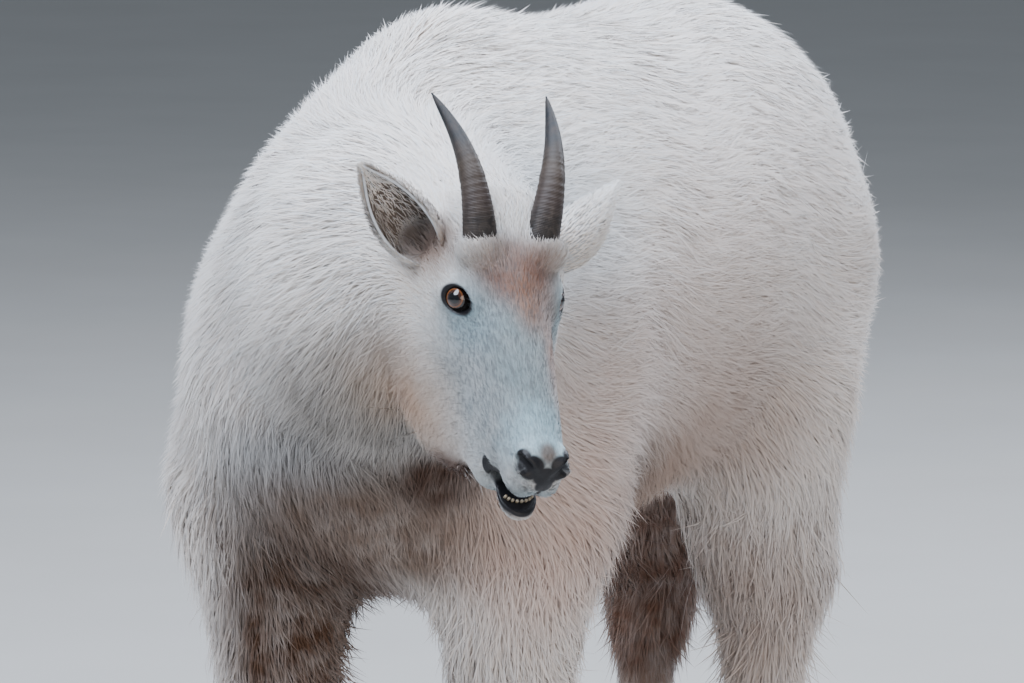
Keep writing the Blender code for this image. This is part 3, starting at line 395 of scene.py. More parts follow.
def netSurface(field, axes):
    # Surface nets: one point in each cell that the form's skin passes through
    values = gridValues(field, axes)
    inside = values < 0
    count = np.zeros(tuple(n - 1 for n in values.shape), int)
    corner = [slice(0, -1), slice(1, None)]
    for cut in itertools.product(corner, repeat=3):
        count += inside[cut]
    cells = np.argwhere((count > 0) & (count < 8))
    index = np.full(count.shape, -1)
    index[tuple(cells.T)] = np.arange(len(cells))
    total, hits = np.zeros((len(cells), 3)), np.zeros(len(cells))
    for axis in range(3):
        others = [k for k in range(3) if k != axis]
        for u in (0, 1):
            for v in (0, 1):
                start = cells.copy()
                start[:, others[0]] += u
                start[:, others[1]] += v
                end = start.copy()
                end[:, axis] += 1
                a, b = values[tuple(start.T)], values[tuple(end.T)]
                crossing = (a < 0) != (b < 0)
                share = np.where(crossing, a / np.where(crossing, a - b, 1.0), 0.0)[:, None]
                first = np.stack([axes[k][start[:, k]] for k in range(3)], 1)
                last = np.stack([axes[k][end[:, k]] for k in range(3)], 1)
                total += (first * (1 - share) + last * share) * crossing[:, None]
                hits += crossing
    points = total / hits[:, None]
    faces = []
    for axis in range(3):
        u, v = [k for k in range(3) if k != axis]
        one = np.take(inside, range(inside.shape[axis] - 1), axis)
        two = np.take(inside, range(1, inside.shape[axis]), axis)
        edges = np.argwhere(one != two)
        edges = edges[(edges[:, u] > 0) & (edges[:, v] > 0)]
        edges = edges[(edges[:, u] < count.shape[u]) & (edges[:, v] < count.shape[v])]
        outward = one[tuple(edges.T)]
        quad = []
        for stepU, stepV in ((-1, -1), (0, -1), (0, 0), (-1, 0)):
            cell = edges.copy()
            cell[:, u] += stepU
            cell[:, v] += stepV
            quad.append(index[tuple(cell.T)])
        quad = np.stack(quad, 1)
        turned = outward if axis != 1 else ~outward
        quad[~turned] = quad[~turned][:, ::-1]
        faces.append(quad)
    return points, np.concatenate(faces)


def slopeOf(field, points, step=0.001):
    rows = []
    for k in range(3):
        move = np.zeros(3)
        move[k] = step
        rows.append(field(points + move) - field(points - move))
    slope = np.stack(rows, 1)
    return slope / np.maximum(np.linalg.norm(slope, axis=1), 1e-12)[:, None]


def unit(vectors):
    return vectors / np.maximum(np.linalg.norm(vectors, axis=1), 1e-12)[:, None]


def meshPiece(name, points, faces, smoothShade=True):
    # A mesh straight from number arrays. Faces are rows of equal length
    mesh = bpy.data.meshes.new(name)
    size = faces.shape[1]
    mesh.vertices.add(len(points))
    mesh.vertices.foreach_set("co", np.asarray(points, np.float32).ravel())
    mesh.loops.add(faces.size)
    mesh.loops.foreach_set("vertex_index", faces.astype(np.int32).ravel())
    mesh.polygons.add(len(faces))
    mesh.polygons.foreach_set("loop_start", np.arange(0, faces.size, size, dtype=np.int32))
    mesh.polygons.foreach_set("loop_total", np.full(len(faces), size, np.int32))
    mesh.update(calc_edges=True)
    mesh.validate()
    if smoothShade:
        mesh.shade_smooth()
    piece = bpy.data.objects.new(name, mesh)
    bpy.context.scene.collection.objects.link(piece)
    return piece


# Materials

def linear(hexColour):
    # sRGB hex to the linear values that the shader takes
    parts = [int(hexColour[k:k + 2], 16) / 255 for k in (1, 3, 5)]
    return tuple(c / 12.92 if c <= 0.04045 else ((c + 0.055) / 1.055) ** 2.4 for c in parts) + (1.0,)


def feed(tree, node, inputs):
    # Fills a node's inputs: from another node's output, with a hex colour, or with a value
    for key, value in inputs.items():
        if isinstance(value, bpy.types.NodeSocket):
            tree.links.new(value, node.inputs[key])
        else:
            node.inputs[key].default_value = linear(value) if isinstance(value, str) else value


def addNode(tree, kind, inputs=None, **settings):
    node = tree.nodes.new(kind)
    for key, value in settings.items():
        setattr(node, key, value)
    feed(tree, node, inputs or {})
    return node


def newMaterial(name, roughness, ior=1.45):
    material = bpy.data.materials.new(name)
    material.use_nodes = True
    tree = material.node_tree
    shader = tree.nodes["Principled BSDF"]
    feed(tree, shader, {"Roughness": roughness, "IOR": ior})
    place = addNode(tree, "ShaderNodeTexCoord").outputs["Object"]
    return material, tree, shader, place


def ranged(tree, value, fromMin, fromMax, toMin=0.0, toMax=1.0, **settings):
    # Maps a value from one range to another
    inputs = {"Value": value, "From Min": fromMin, "From Max": fromMax, "To Min": toMin, "To Max": toMax}
    return addNode(tree, "ShaderNodeMapRange", inputs, **settings).outputs[0]


def maths(tree, operation, *values):
    return addNode(tree, "ShaderNodeMath", dict(enumerate(values)), operation=operation).outputs[0]


def attribute(tree, label):
    return addNode(tree, "ShaderNodeAttribute", attribute_name=label).outputs["Fac"]


def noise(tree, place, scale, detail, **more):
    inputs = {"Vector": place, "Scale": scale, "Detail": detail} | {key.title(): more[key] for key in more}
    return addNode(tree, "ShaderNodeTexNoise", inputs).outputs["Fac"]


def bumped(tree, shader, height, strength, distance):
    bump = addNode(tree, "ShaderNodeBump", {"Height": height, "Strength": strength, "Distance": distance})
    feed(tree, shader, {"Normal": bump.outputs[0]})


def turnedInto(tree, place, where, turn, size):
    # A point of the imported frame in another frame's own measures
    inputs = {"Vector": place, "Location": where, "Rotation": turn, "Scale": size}
    return addNode(tree, "ShaderNodeMapping", inputs, vector_type="TEXTURE").outputs[0]


def mixed(tree, share, first, second):
    # Sockets 0, 6 and 7 of a colour mix are its share and its two colours
    return addNode(tree, "ShaderNodeMix", {0: share, 6: first, 7: second}, data_type="RGBA").outputs[2]


def lengthOf(tree, vector):
    return addNode(tree, "ShaderNodeVectorMath", {0: vector}, operation="LENGTH").outputs["Value"]


# Markings: soft patches of colour, in the head's own measures (left, back from the nose, off the brow)
# or in the body's. Skin and coat share them, so that the coat's gaps show nothing odd
# Some patches are painted shade: under the jaw, on the chest, throat, belly and thigh, and inside the legs,
# over the hair's own brownish tones
def bothSides(name, centre, *rest):
    # The same patch on the right and on the left
    return [(f"{name} {word}", (side * centre[0], *centre[1:]), *rest)
            for word, side in (("right", -1), ("left", 1))]


headPatches = [
    # name, centre, radii, colour, strength, softness
    ("face", (0.0, -0.115, -0.045), (0.078, 0.145, 0.080), "#a2aaac", 1.0, 0.40),
    ("cheek cream right", (-0.050, -0.100, -0.150), (0.055, 0.080, 0.055), "#c9ab92", 0.75, 0.60),
    ("cheek cream left", (0.045, -0.100, -0.150), (0.055, 0.080, 0.055), "#c0ac9a", 0.60, 0.60),
    ("jowl tan right", (-0.060, -0.102, -0.148), (0.022, 0.026, 0.022), "#b88a68", 0.60, 0.80),
    ("bridge blue", (-0.012, -0.120, -0.002), (0.030, 0.078, 0.032), "#78898c", 0.85, 0.70),
    ("muzzle pale", (0.0, -0.197, -0.010), (0.036, 0.030, 0.034), "#9dbcc6", 0.90, 0.60),
    ("brow brown", (-0.002, -0.036, 0.004), (0.040, 0.029, 0.036), "#80492a", 0.88, 0.65),
    ("brow tail", (0.008, -0.066, 0.000), (0.018, 0.030, 0.026), "#94664a", 0.75, 0.65),
    ("ear root right", (-0.056, 0.010, -0.050), (0.024, 0.026, 0.034), "#86654f", 0.90, 0.60),
    ("ear root left", (0.056, 0.010, -0.050), (0.024, 0.026, 0.034), "#8b6c58", 0.60, 0.60),
    *bothSides("horn root", (0.031, -0.016, -0.004), (0.024, 0.018, 0.026), "#8f8075", 0.40, 0.70),
    *bothSides("eye pale", (0.052, -0.072, -0.026), (0.024, 0.034, 0.028), "#8eaab4", 0.85, 0.70),
    ("nose fuzz", (0.001, -0.2190, 0.0010), (0.009, 0.011, 0.010), "#75665c", 0.95, 0.50),
    ("left face tan", (0.030, -0.112, -0.010), (0.012, 0.050, 0.022), "#ad8069", 0.80, 0.80),
    # Under the jaw: painted shadow, over brown hair
    ("jaw shadow brown", (-0.012, -0.165, -0.160), (0.042, 0.026, 0.030), "#5c3822", 0.97, 0.45),
    ("ear cup right", (-0.070, 0.022, -0.052), (0.024, 0.018, 0.024), "#5b493e", 0.97, 0.40),
    ("ear inside right", (-0.097, 0.034, -0.032), (0.034, 0.017, 0.028), "#80746b", 0.90, 0.40),
    ("lip grey", (0.0, -0.238, -0.044), (0.030, 0.022, 0.013), "#7f9299", 0.75, 0.50),
    ("chin white", (0.0, -0.215, -0.100), (0.034, 0.040, 0.018), "#a3b1b4", 0.85, 0.50),
]
darkPatches = [
    # Bare dark skin, as name, centre, radii and softness
    *bothSides("eye rim", (1, "eye"), (0.0215, 0.0138, 0.0125), 0.12),
    *bothSides("nostril outer", (0.0235, -0.2235, -0.0080), (0.0100, 0.0130, 0.0100), 0.18),
    ("nostril right", (-0.0150, -0.2310, -0.0060), (0.0130, 0.0120, 0.0105), 0.18),
    ("nostril left", (0.0150, -0.2310, -0.0060), (0.0120, 0.0120, 0.0105), 0.18),
    ("nostril low right", (-0.0170, -0.2355, -0.0110), (0.0110, 0.0095, 0.0085), 0.18),
    ("nostril low left", (0.0150, -0.2355, -0.0110), (0.0100, 0.0095, 0.0085), 0.18),
    ("nostril inner", (0.0, -0.2385, -0.0130), (0.0140, 0.0105, 0.0105), 0.18),
    ("nose band", (0.001, -0.2445, -0.0215), (0.0095, 0.0110, 0.0110), 0.20),
    ("philtrum", (0.001, -0.2480, -0.0400), (0.0028, 0.0100, 0.0120), 0.30),
    ("lip edge", (0.0, -0.2430, -0.0685), (0.0320, 0.0160, 0.0105), 0.10),
    ("mouth inside", (0.0, -0.2220, -0.0715), (0.0370, 0.0310, 0.0150), 0.12),
    *bothSides("mouth corner", (0.0290, -0.2030, -0.0740), (0.0090, 0.0140, 0.0075), 0.15),
]
bodyPatches = [
    ("belly cream", (0.0, 0.05, 0.36), (0.50, 0.80, 0.30), "#e2cfc0", 0.45, 0.70),
    ("shoulder cool", (0.22, -0.32, 0.74), (0.10, 0.11, 0.10), "#b9c2c6", 0.70, 0.80),
    ("shoulder blush", (0.23, -0.28, 0.53), (0.12, 0.18, 0.13), "#cfb5a8", 0.62, 0.80),
    ("flank blush", (0.22, -0.06, 0.60), (0.12, 0.14, 0.12), "#e0cdc1", 0.50, 0.80),
    # The darker patches on the chest, throat, belly and thigh below are painted shade on the underside and
    # lower side, over brownish tones of the hair itself
    ("chest shade", (0.10, -0.52, 0.55), (0.11, 0.11, 0.10), "#88827b", 0.95, 0.60),
    ("throat", (0.15, -0.56, 0.60), (0.06, 0.06, 0.06), "#a39689", 0.80, 0.70),
    ("chest right shade", (-0.02, -0.49, 0.49), (0.09, 0.07, 0.06), "#a6a7a8", 0.85, 0.60),
    ("chest low brown shade", (0.05, -0.44, 0.44), (0.16, 0.12, 0.07), "#735a48", 0.97, 0.50),
    ("belly tan shade", (0.13, -0.12, 0.435), (0.16, 0.16, 0.070), "#6b523f", 1.0, 0.60),
    ("thigh tan shade", (0.18, -0.01, 0.49), (0.10, 0.11, 0.10), "#a2806a", 0.85, 0.70),
    ("forearm blush", (0.21, -0.35, 0.42), (0.08, 0.08, 0.09), "#d9baa9", 0.70, 0.80),
    # Under the jaw: painted shadow, over brown hair
    ("under jaw shadow brown", (0.142, -0.447, 0.495), (0.044, 0.050, 0.030), "#4c301e", 1.0, 0.45),
    ("hind shank", (0.11, 0.15, 0.30), (0.09, 0.10, 0.10), "#b39c8e", 0.75, 0.60),
    # Inside the legs: painted shade, with brownish dirt in the hair
    ("inner hind brown shade", (-0.09, 0.30, 0.31), (0.11, 0.13, 0.17), "#704428", 0.97, 0.35),
    ("fore inner brown shade", (-0.050, -0.37, 0.335), (0.095, 0.13, 0.135), "#54361f", 1.0, 0.40),
    ("hip blush", (0.20, 0.10, 0.66), (0.12, 0.20, 0.22), "#e6d6ca", 0.35, 0.80),
]


def eyeFrame(side):
    # Where an eye is and how it is turned. The right eye mirrors the left, and stays a true turn
    turn = eyeTurn()
    slant, across, out = (Vector(turn.col[k]) for k in range(3))
    if side < 0:
        slant, across, out = (Vector((-v.x, v.y, v.z)) for v in (slant, -across, out))
    turn = Matrix((slant, across, out)).transposed().to_4x4()
    centre = Vector((side * pose["eyePlace"][0], pose["eyePlace"][1], pose["eyePlace"][2]))
    return headMatrix @ Matrix.Translation(centre) @ turn


def eyeRim(side):
    # The middle of the dark rim, a little ahead of the eye's own
    return eyeFrame(side) @ Matrix.Translation((0.0005, 0.0, 0.0160))


def patchShare(tree, place, centre, radii, soft, onHead):
    # 1 inside an ellipsoid, fading to 0 over its soft edge
    if centre[1] == "eye":
        where, turn = eyeRim(centre[0]).to_translation(), eyeRim(centre[0]).to_euler()
    else:
        where = headMatrix @ Vector(centre) if onHead else Vector(centre) + Vector(shift)
        turn = headTurn().to_euler() if onHead else (0.0, 0.0, 0.0)
    local = turnedInto(tree, place, where, turn, radii)
    return ranged(tree, lengthOf(tree, local), 1.0 + soft, 1.0 - soft, interpolation_type="SMOOTHSTEP")


def addMarkings(tree, place, base):
    # Cool white on top, creamy and brownish below with painted shade on the underside, with broken edges from
    # a noise about 30 mm across
    ragged = ranged(tree, noise(tree, place, 33.0, 4.0, roughness=0.6), 0.35, 0.65, 0.74, 1.0)
    colour = base
    for rows, onHead in ((bodyPatches, False), (headPatches, True)):
        for _, centre, radii, tint, strength, soft in rows:
            share = patchShare(tree, place, centre, radii, soft, onHead)
            share = maths(tree, "MULTIPLY", maths(tree, "MULTIPLY", share, strength), ragged)
            colour = mixed(tree, share, colour, tint)
    return colour


def darkShare(tree, place):
    total = None
    for _, centre, radii, soft in darkPatches:
        share = patchShare(tree, place, centre, radii, soft, True)
        total = share if total is None else maths(tree, "MAXIMUM", total, share)
    return total


# The root colour is darker and warmer than the tip: painted shade deep in the coat, with a warm root tone
coatLook = {"tip": "#f8f6f4", "root": "#e6d8c9", "warmStrand": "#eee3d8", "coolStrand": "#e2eaef",
            "greyStrand": "#5c5f61", "darkStrand": "#1b191b", "roughness": 0.60,
            "streakSize": (0.0018, 0.0090, 0.0030)}


def makeCoatMaterial():
    # Goat hair: hollow white guard hair, so it scatters light softly and has only a dull sheen
    material, tree, shader, place = newMaterial("goatHair", coatLook["roughness"], 1.55)
    draw = attribute(tree, "hairDraw")
    # Each tuft darkens from tip to root: painted shade in the depth of the coat, with a warm root tone
    base = mixed(tree, attribute(tree, "hairShare"), coatLook["root"], coatLook["tip"])
    base = mixed(tree, ranged(tree, draw, 0.72, 1.0, 0.0, 0.8), base, coatLook["warmStrand"])
    base = mixed(tree, ranged(tree, draw, 0.28, 0.0, 0.0, 0.7), base, coatLook["coolStrand"])
    colour = addMarkings(tree, place, base)
    # Grey strands among the pale ones, in streaks about 2 mm by 9 mm that run down the face
    face = patchShare(tree, place, (-0.006, -0.105, -0.038), (0.060, 0.130, 0.074), 0.5, True)
    along = turnedInto(tree, place, headMatrix.to_translation(), headTurn().to_euler(),
                       coatLook["streakSize"])
    streaks = maths(tree, "MULTIPLY_ADD", draw, 0.10, noise(tree, along, 1.0, 3.0, distortion=0.4))
    odd = maths(tree, "MULTIPLY", ranged(tree, streaks, 0.51, 0.65, 0.0, 0.55), face)
    colour = mixed(tree, odd, colour, coatLook["greyStrand"])
    dark = maths(tree, "MULTIPLY", darkShare(tree, place), 0.92)
    feed(tree, shader, {"Base Color": mixed(tree, dark, colour, coatLook["darkStrand"]), "Sheen Weight": 0.25,
                        "Sheen Roughness": 0.5, "Specular IOR Level": 0.25})
    return material


skinLook = {"base": "#cdbdb1", "bare": ("#09090b", "#1d1c20"), "grainMm": 1.2, "noseGrainMm": 2.0}


def makeSkinMaterial():
    # Skin under the coat, and bare black skin on nose, lips and lids: fine pebbled leather with a damp gloss
    material, tree, shader, place = newMaterial("goatSkin", 0.6, 1.40)
    colour = addMarkings(tree, place, skinLook["base"])
    dark = darkShare(tree, place)
    black = mixed(tree, noise(tree, place, 240.0, 3.0), *skinLook["bare"])
    feed(tree, shader, {"Base Color": mixed(tree, dark, colour, black),
                        "Roughness": ranged(tree, dark, 0.0, 1.0, 0.75, 0.46)})
    # Pebbles about 2 mm across on the nose, and a fine hair grain elsewhere
    inputs = {"Vector": place, "Scale": 1000.0 / skinLook["noseGrainMm"]}
    pebbles = addNode(tree, "ShaderNodeTexVoronoi", inputs, feature="SMOOTH_F1").outputs["Distance"]
    grain = noise(tree, place, 1000.0 / skinLook["grainMm"], 2.0)
    relief = addNode(tree, "ShaderNodeMix", {0: dark, 2: grain, 3: pebbles}).outputs[0]
    bumped(tree, shader, relief, 0.35, 0.0006)
    return material


# Skin

def buildSkin():
    ends = ("low", "high", "fineLow", "fineHigh")
    axes = [gradedAxis(*(skinGrid[end][k] for end in ends)) for k in range(3)]
    points, faces = netSurface(skinForm, axes)
    for _ in range(2):
        height = skinForm(points)
        points = points - np.clip(height, -0.004, 0.004)[:, None] * slopeOf(skinForm, points)
    piece = meshPiece("skin", points, faces)
    return piece, points, faces


skin, skinPoints, skinFaces = buildSkin()
skin.data.materials.append(makeSkinMaterial())
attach(skin, "root")
fleshNodes = ["torso", "neck", "tail", "head", "jaw", "nose"]
fleshNodes += [f"{part}_{leg}" for part in ("leg", "shin") for leg in
               ("fore_left", "fore_right", "hind_left", "hind_right")]
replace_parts(skin, *fleshNodes)
print("skin", len(skinFaces), "faces")


# Coat: where the tufts grow, which way they lie, and how they gather

def lieOfCoat(points, normals):
    own, local = points - shift, toHead(points)
    x, y, z = own.T
    low = smooth(-z, -0.60, -0.42)
    chest = np.clip((-0.38 - y) / 0.10, 0.0, 1.0)
    stern = np.clip((y - 0.26) / 0.14, 0.0, 1.0) * (1.0 - 0.6 * smooth(z, 0.45, 0.65))
    ends = np.maximum(chest, stern)
    down = np.maximum(0.16 + 0.80 * low, 0.95 * ends)
    back = (0.95 - 0.62 * low) * (1.0 - ends) + 0.25 * (y > 0) * (ends > 0)
    body = unit(np.stack([0.25 * np.sign(x) * smooth(z, 0.70, 0.85), back, -down], 1))
    # On the neck the hair runs from the head down to the chest and back to the withers
    fromSkull = unit(own - np.array(placed((0.0, -0.03, -0.03))))
    neck = smooth(neckForm(own) * -1.0, -0.02, 0.03) * smooth(-y, 0.33, 0.42)
    body = unit(body * (1.0 - 0.8 * neck[:, None]) + fromSkull * (0.8 * neck[:, None]) + (0, 0, -0.08))
    # Swirls that break the lie a little
    swirl = 0.24 * np.sin(17 * x + 23 * y + 5) + 0.18 * np.sin(41 * y - 29 * z)
    swirl = swirl + 0.16 * np.sin(67 * z + 31 * x)
    swirl = swirl + 0.14 * np.sin(120 * y + 95 * z) * np.sin(88 * x - 101 * z)
    side = np.cross(normals, body)
    body = unit(body + side * swirl[:, None] * 0.9)
    # Head: up the face from the nose, outward over the cheeks and back over the crown
    up = np.stack([local[:, 0] * 9.0, 0.9 + 0 * z, -0.5 * smooth(-local[:, 2], 0.03, 0.10)], 1)
    chin = smooth(-local[:, 2], 0.060, 0.100)[:, None]
    down = np.stack([0.45 * np.sign(local[:, 0]), -0.08 + 0 * z, -0.90 + 0 * z], 1)
    up = up * (1 - chin) + down * chin
    head = unit(up @ headAxes.T)
    share = headShare(points)[:, None]
    way = head * share + body * (1.0 - share)
    way = way - (way * normals).sum(1)[:, None] * normals
    return unit(way)


def beardShare(points):
    # 1 on the chin and throat, where long hair hangs free
    local = toHead(points)
    low = smooth(-local[:, 2], 0.082, 0.125) * smooth(local[:, 1], -0.205, -0.175)
    return low * smooth(-local[:, 1], -0.010, 0.040) * headShare(points)


def hornRootShare(local):
    # 1 round the roots of the horns, 0 away from them
    away = np.linalg.norm((mirrored(local) - (0.031, -0.024, -0.008)) / 0.026, axis=1)
    return np.clip(1.3 - away, 0.0, 1.0)


def coatLength(points):
    own, local = points - shift, toHead(points)
    body = coat["bodyHair"] + coat["longHair"] * longShare(points)
    body = body + coat["legHair"] * smooth(0.46 - own[:, 2], 0.0, 0.08)
    body = coat["shinHair"] + (body - coat["shinHair"]) * smooth(own[:, 2], 0.19, 0.31)
    face = coat["noseHair"] + coat["faceHair"] * smooth(local[:, 1], -0.19, -0.05)
    cheek = smooth(-local[:, 2], 0.075, 0.125) * smooth(local[:, 1], -0.20, -0.10)
    crown = smooth(local[:, 1], -0.025, 0.020)
    face = face + coat["cheekHair"] * np.maximum(cheek, crown) + coat["beardHair"] * beardShare(points)
    # Longer hair over the roots of the horns
    face = face + coat["hornHair"] * hornRootShare(local)
    # Shorter round the eyes, and beside the cups of the ears
    atEye = np.linalg.norm(mirrored(local) - np.array(pose["eyePlace"]), axis=1)
    face = face * (0.30 + 0.70 * smooth(atEye, 0.020, 0.042))
    for side in (-1, 1):
        root = earRoot(side)
        atEar = limb(local, root, root + 0.05 * np.array(ear["lie"][side]), 0.0, 0.0)
        face = face * (0.65 + 0.35 * smooth(atEar, 0.020, 0.034))
    body = body * (1.0 - 0.45 * smooth(own[:, 1], 0.44, 0.50))
    share = headShare(points)
    return face * share + body * (1.0 - share)


def gathered(points, size, seed):
    # The nearest of the scattered points that clumps gather round
    cell = np.floor(points / size).astype(np.int64)
    best = np.full(len(points), 1e9)
    found, label = points.copy(), np.zeros(len(points))
    for neighbour in itertools.product((-1, 0, 1), repeat=3):
        spot = cell + neighbour
        # Large primes turn each cell's number into a draw of its own
        mixedBits = (spot[:, 0] * 73856093) ^ (spot[:, 1] * 19349663) ^ (spot[:, 2] * 83492791) ^ seed
        draws = [((mixedBits * step) % 10007) / 10007 for step in (7919, 104729, 15485863)]
        centre = (spot + np.stack(draws, 1)) * size
        reach = ((centre - points) ** 2).sum(1)
        closer = reach < best
        best = np.where(closer, reach, best)
        found[closer] = centre[closer]
        label[closer] = draws[0][closer]
    return found, label


def darkHere(local):
    # Bare skin, where no tuft grows
    bare = np.zeros(len(local), bool)
    for _, centre, radii, _ in darkPatches:
        if centre[1] == "eye":
            frameHere = np.array(eyeRim(centre[0]).inverted())
            offset = (fromHead(local) @ frameHere[:3, :3].T + frameHere[:3, 3]) / np.array(radii)
        else:
            offset = (local - np.array(centre)) / np.array(radii)
        bare |= (offset ** 2).sum(1) < 0.95
    return bare


triangles = np.concatenate([skinFaces[:, [0, 1, 2]], skinFaces[:, [0, 2, 3]]])
triCorners = skinPoints[triangles]
triMiddle = triCorners.mean(1)
triSides = triCorners[:, 1:] - triCorners[:, :1]
triArea = np.linalg.norm(np.cross(triSides[:, 0], triSides[:, 1]), axis=1) / 2
skinNormals = slopeOf(skinForm, skinPoints)


def rootsIn(mask, count, draws, density):
    # Evenly scattered roots on the chosen part of the skin
    weight = triArea * mask * density
    steps = np.cumsum(weight)
    picks = (np.arange(count) + draws.random(count)) / count * steps[-1]
    chosen = np.minimum(np.searchsorted(steps, picks), len(steps) - 1)
    a, b = np.sqrt(draws.random(count)), draws.random(count)
    shares = np.stack([1 - a, a * (1 - b), a * b], 1)[:, :, None]
    points = (triCorners[chosen] * shares).sum(1)
    normals = unit((skinNormals[triangles[chosen]] * shares).sum(1))
    return points, normals


def cubeUnwrap(points, normals):
    # Six flat charts of the skin, by the side that each root faces
    low, high = points.min(0), points.max(0)
    scaled = (points - low) / np.maximum(high - low, 1e-6)
    axis = np.abs(normals).argmax(1)
    facing = normals[np.arange(len(axis)), axis] > 0
    u = np.choose(axis, [scaled[:, 1], scaled[:, 0], scaled[:, 0]])
    v = np.choose(axis, [scaled[:, 2], scaled[:, 2], scaled[:, 1]])
    return np.stack([(axis + 0.02 + 0.96 * u) / 3, (facing + 0.02 + 0.96 * v) / 2], 1)


tuft = {"patch": 0.003, "roundness": 0.16, "tipShade": 0.12,
        "fine": {"shares": (0.0, 0.45, 1.0), "fullness": (0.75, 1.0),
                 "faces": ((0, 3, 1), (0, 2, 3), (2, 4, 3))},
        "long": {"shares": (0.0, 0.36, 0.72, 1.0), "fullness": (0.70, 1.0, 0.62),
                 "faces": ((0, 3, 1), (0, 2, 3), (2, 5, 3), (2, 4, 5), (4, 6, 5))}}


def bladePiece(name, kind, rings, flat, widths, normals, ways, roots, draws):
    # Flat tapered tufts through rings of points, as one mesh
    number, size = len(roots), 2 * len(kind["fullness"]) + 1
    points, shares, sides = [], [], []
    for ring, full, share in zip(rings, kind["fullness"], kind["shares"]):
        half = flat * (widths * full / 2)[:, None]
        points += [ring - half, ring + half]
        shares += [share, share]
        sides += [-1.0, 1.0]
    points.append(rings[-1])
    shares.append(1.0)
    sides.append(0.0)
    points = np.stack(points, 1).reshape(-1, 3)
    base = (np.arange(number) * size)[:, None]
    faces = (base[:, :, None] + np.array(kind["faces"])[None]).reshape(-1, 3)
    piece = meshPiece(name, points, faces)
    mesh = piece.data
    # The coat is shaded mostly as the body's form, with a little roundness to each tuft
    shades = []
    for shareHere, sideHere in zip(shares, sides):
        rounded = flat * (tuft["roundness"] * sideHere)
        shades.append(unit(normals + rounded + ways * (tuft["tipShade"] * shareHere)))
    shades = np.stack(shades, 1).reshape(-1, 3)
    mesh.normals_split_custom_set_from_vertices(shades)
    setFloat(piece, "hairShare", np.tile(shares, number))
    setFloat(piece, "hairDraw", np.repeat(draws.random(number), size))
    flatMap = np.repeat(cubeUnwrap(roots, normals), size, axis=0)
    corners = np.stack([sides, np.array(shares) * 2 - 1], 1)
    flatMap = flatMap + np.tile(corners, (number, 1)) * tuft["patch"] / 2
    layer = mesh.uv_layers.new(name="OFBake")
    layer.data.foreach_set("uv", flatMap[faces.ravel()].astype(np.float32).ravel())
    mesh.materials.append(coatMaterial)
    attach(piece, "root")
    print(name, number, "tufts,", len(faces), "triangles")
    return piece


def setFloat(piece, label, values):
    layer = piece.data.attributes.new(label, "FLOAT", "POINT")
    layer.data.foreach_set("value", np.asarray(values, np.float32))


# How tufts lie: lift off the outline, bend and strays, and how closely they follow the form
growth = {"lift": 0.0017, "bend": 0.11, "strayShare": 0.07, "strayLift": (0.001, 0.006), "cling": 0.80,
          "beardCling": 0.96, "hang": (-0.10, -0.10, -1.0), "loose": 0.010, "looseAbove": 0.50,
          "looseAhead": 0.30, "lengthSpread": 0.25, "usualLength": 0.05, "rootSunk": 0.0006,
          "mostRise": 0.03, "roll": 0.9, "widthRange": (0.7, 1.35)}


def growTufts(name, mask, count, seed, width, clump, wild, spread, kindName, density=1.0):
    draws, kind, out, cling = np.random.default_rng(seed), tuft[kindName], growth["lift"], growth["cling"]
    roots, normals = rootsIn(mask, count, draws, density)
    tips = toHead(roots + lieOfCoat(roots, normals) * (0.8 * coatLength(roots))[:, None])
    keep = ~((darkHere(toHead(roots)) | darkHere(tips)) & (headShare(roots) > 0.5))
    roots, normals = roots[keep], normals[keep]
    number = len(roots)
    beard = beardShare(roots)
    lengths = coatLength(roots) * (1.0 + growth["lengthSpread"] * draws.normal(0, 1, number)).clip(0.45, 1.7)
    ways = lieOfCoat(roots, normals)
    side = np.cross(normals, ways)
    ways = unit(ways + side * (wild * draws.normal(0, 1, number))[:, None])
    side = np.cross(normals, ways)
    depth = coatDepth(roots)
    centre, label = gathered(roots, clump, seed)
    pull = centre - roots
    pull = pull - (pull * normals).sum(1)[:, None] * normals
    long = longShare(roots) * (1 - headShare(roots))
    lift = out * (1.0 + 1.6 * long) * draws.normal(0.0, 1.0, number) + (label - 0.5) * out * 2.0
    # A few stray hairs stand off, and each one bends a little to a side
    stray = (draws.random(number) < growth["strayShare"]) * draws.uniform(*growth["strayLift"], number)
    relative = lengths / growth["usualLength"]
    lift = (lift + stray) * relative.clip(0.12, 1.5)
    bend = draws.normal(0.0, growth["bend"], number) * lengths
    widths = width * relative.clip(0.50, 1.15) * draws.uniform(*growth["widthRange"], number)
    widths = widths * (1.0 - 0.35 * beard)
    hold = cling + (growth["beardCling"] - cling) * beard
    hold = hold * (1.0 - 0.5 * hornRootShare(toHead(roots)) * headShare(roots))
    hang = np.array(growth["hang"])
    rings = []
    for share in kind["shares"]:
        sag = hang * (0.30 * share ** 1.3 * beard * lengths)[:, None]
        place = roots + ways * (lengths * share * (1.0 - 0.3 * beard))[:, None]
        place = place + pull * (spread * (1.0 - 0.6 * beard) * share ** 1.4)[:, None] + sag
        place = place + side * (bend * share * share)[:, None]
        level = -depth * (1.0 - share ** 0.75) + lift * share ** 1.5
        if share == 0.0:
            level = level - growth["rootSunk"]
        height = outerForm(place)
        # Free ends may hang off the form, but none sinks into it
        gap = np.clip(level - height, -hold * lengths * share - 0.001, growth["mostRise"])
        rings.append(place + normals * gap[:, None])
    roll = draws.uniform(-growth["roll"], growth["roll"], number)
    flat = side * np.cos(roll)[:, None] + normals * np.sin(roll)[:, None]
    # Round the head and neck no long tuft stands clear of the coat
    low, rear = roots[:, 2] < growth["looseAbove"], roots[:, 1] > growth["looseAhead"]
    stays = (outerForm(rings[-1]) < growth["loose"]) | low | rear
    rings = [ring[stays] for ring in rings]
    flat, widths, normals, ways, roots = (rows[stays] for rows in (flat, widths, normals, ways, roots))
    return bladePiece(name, kind, rings, flat, widths, normals, ways, roots, draws)


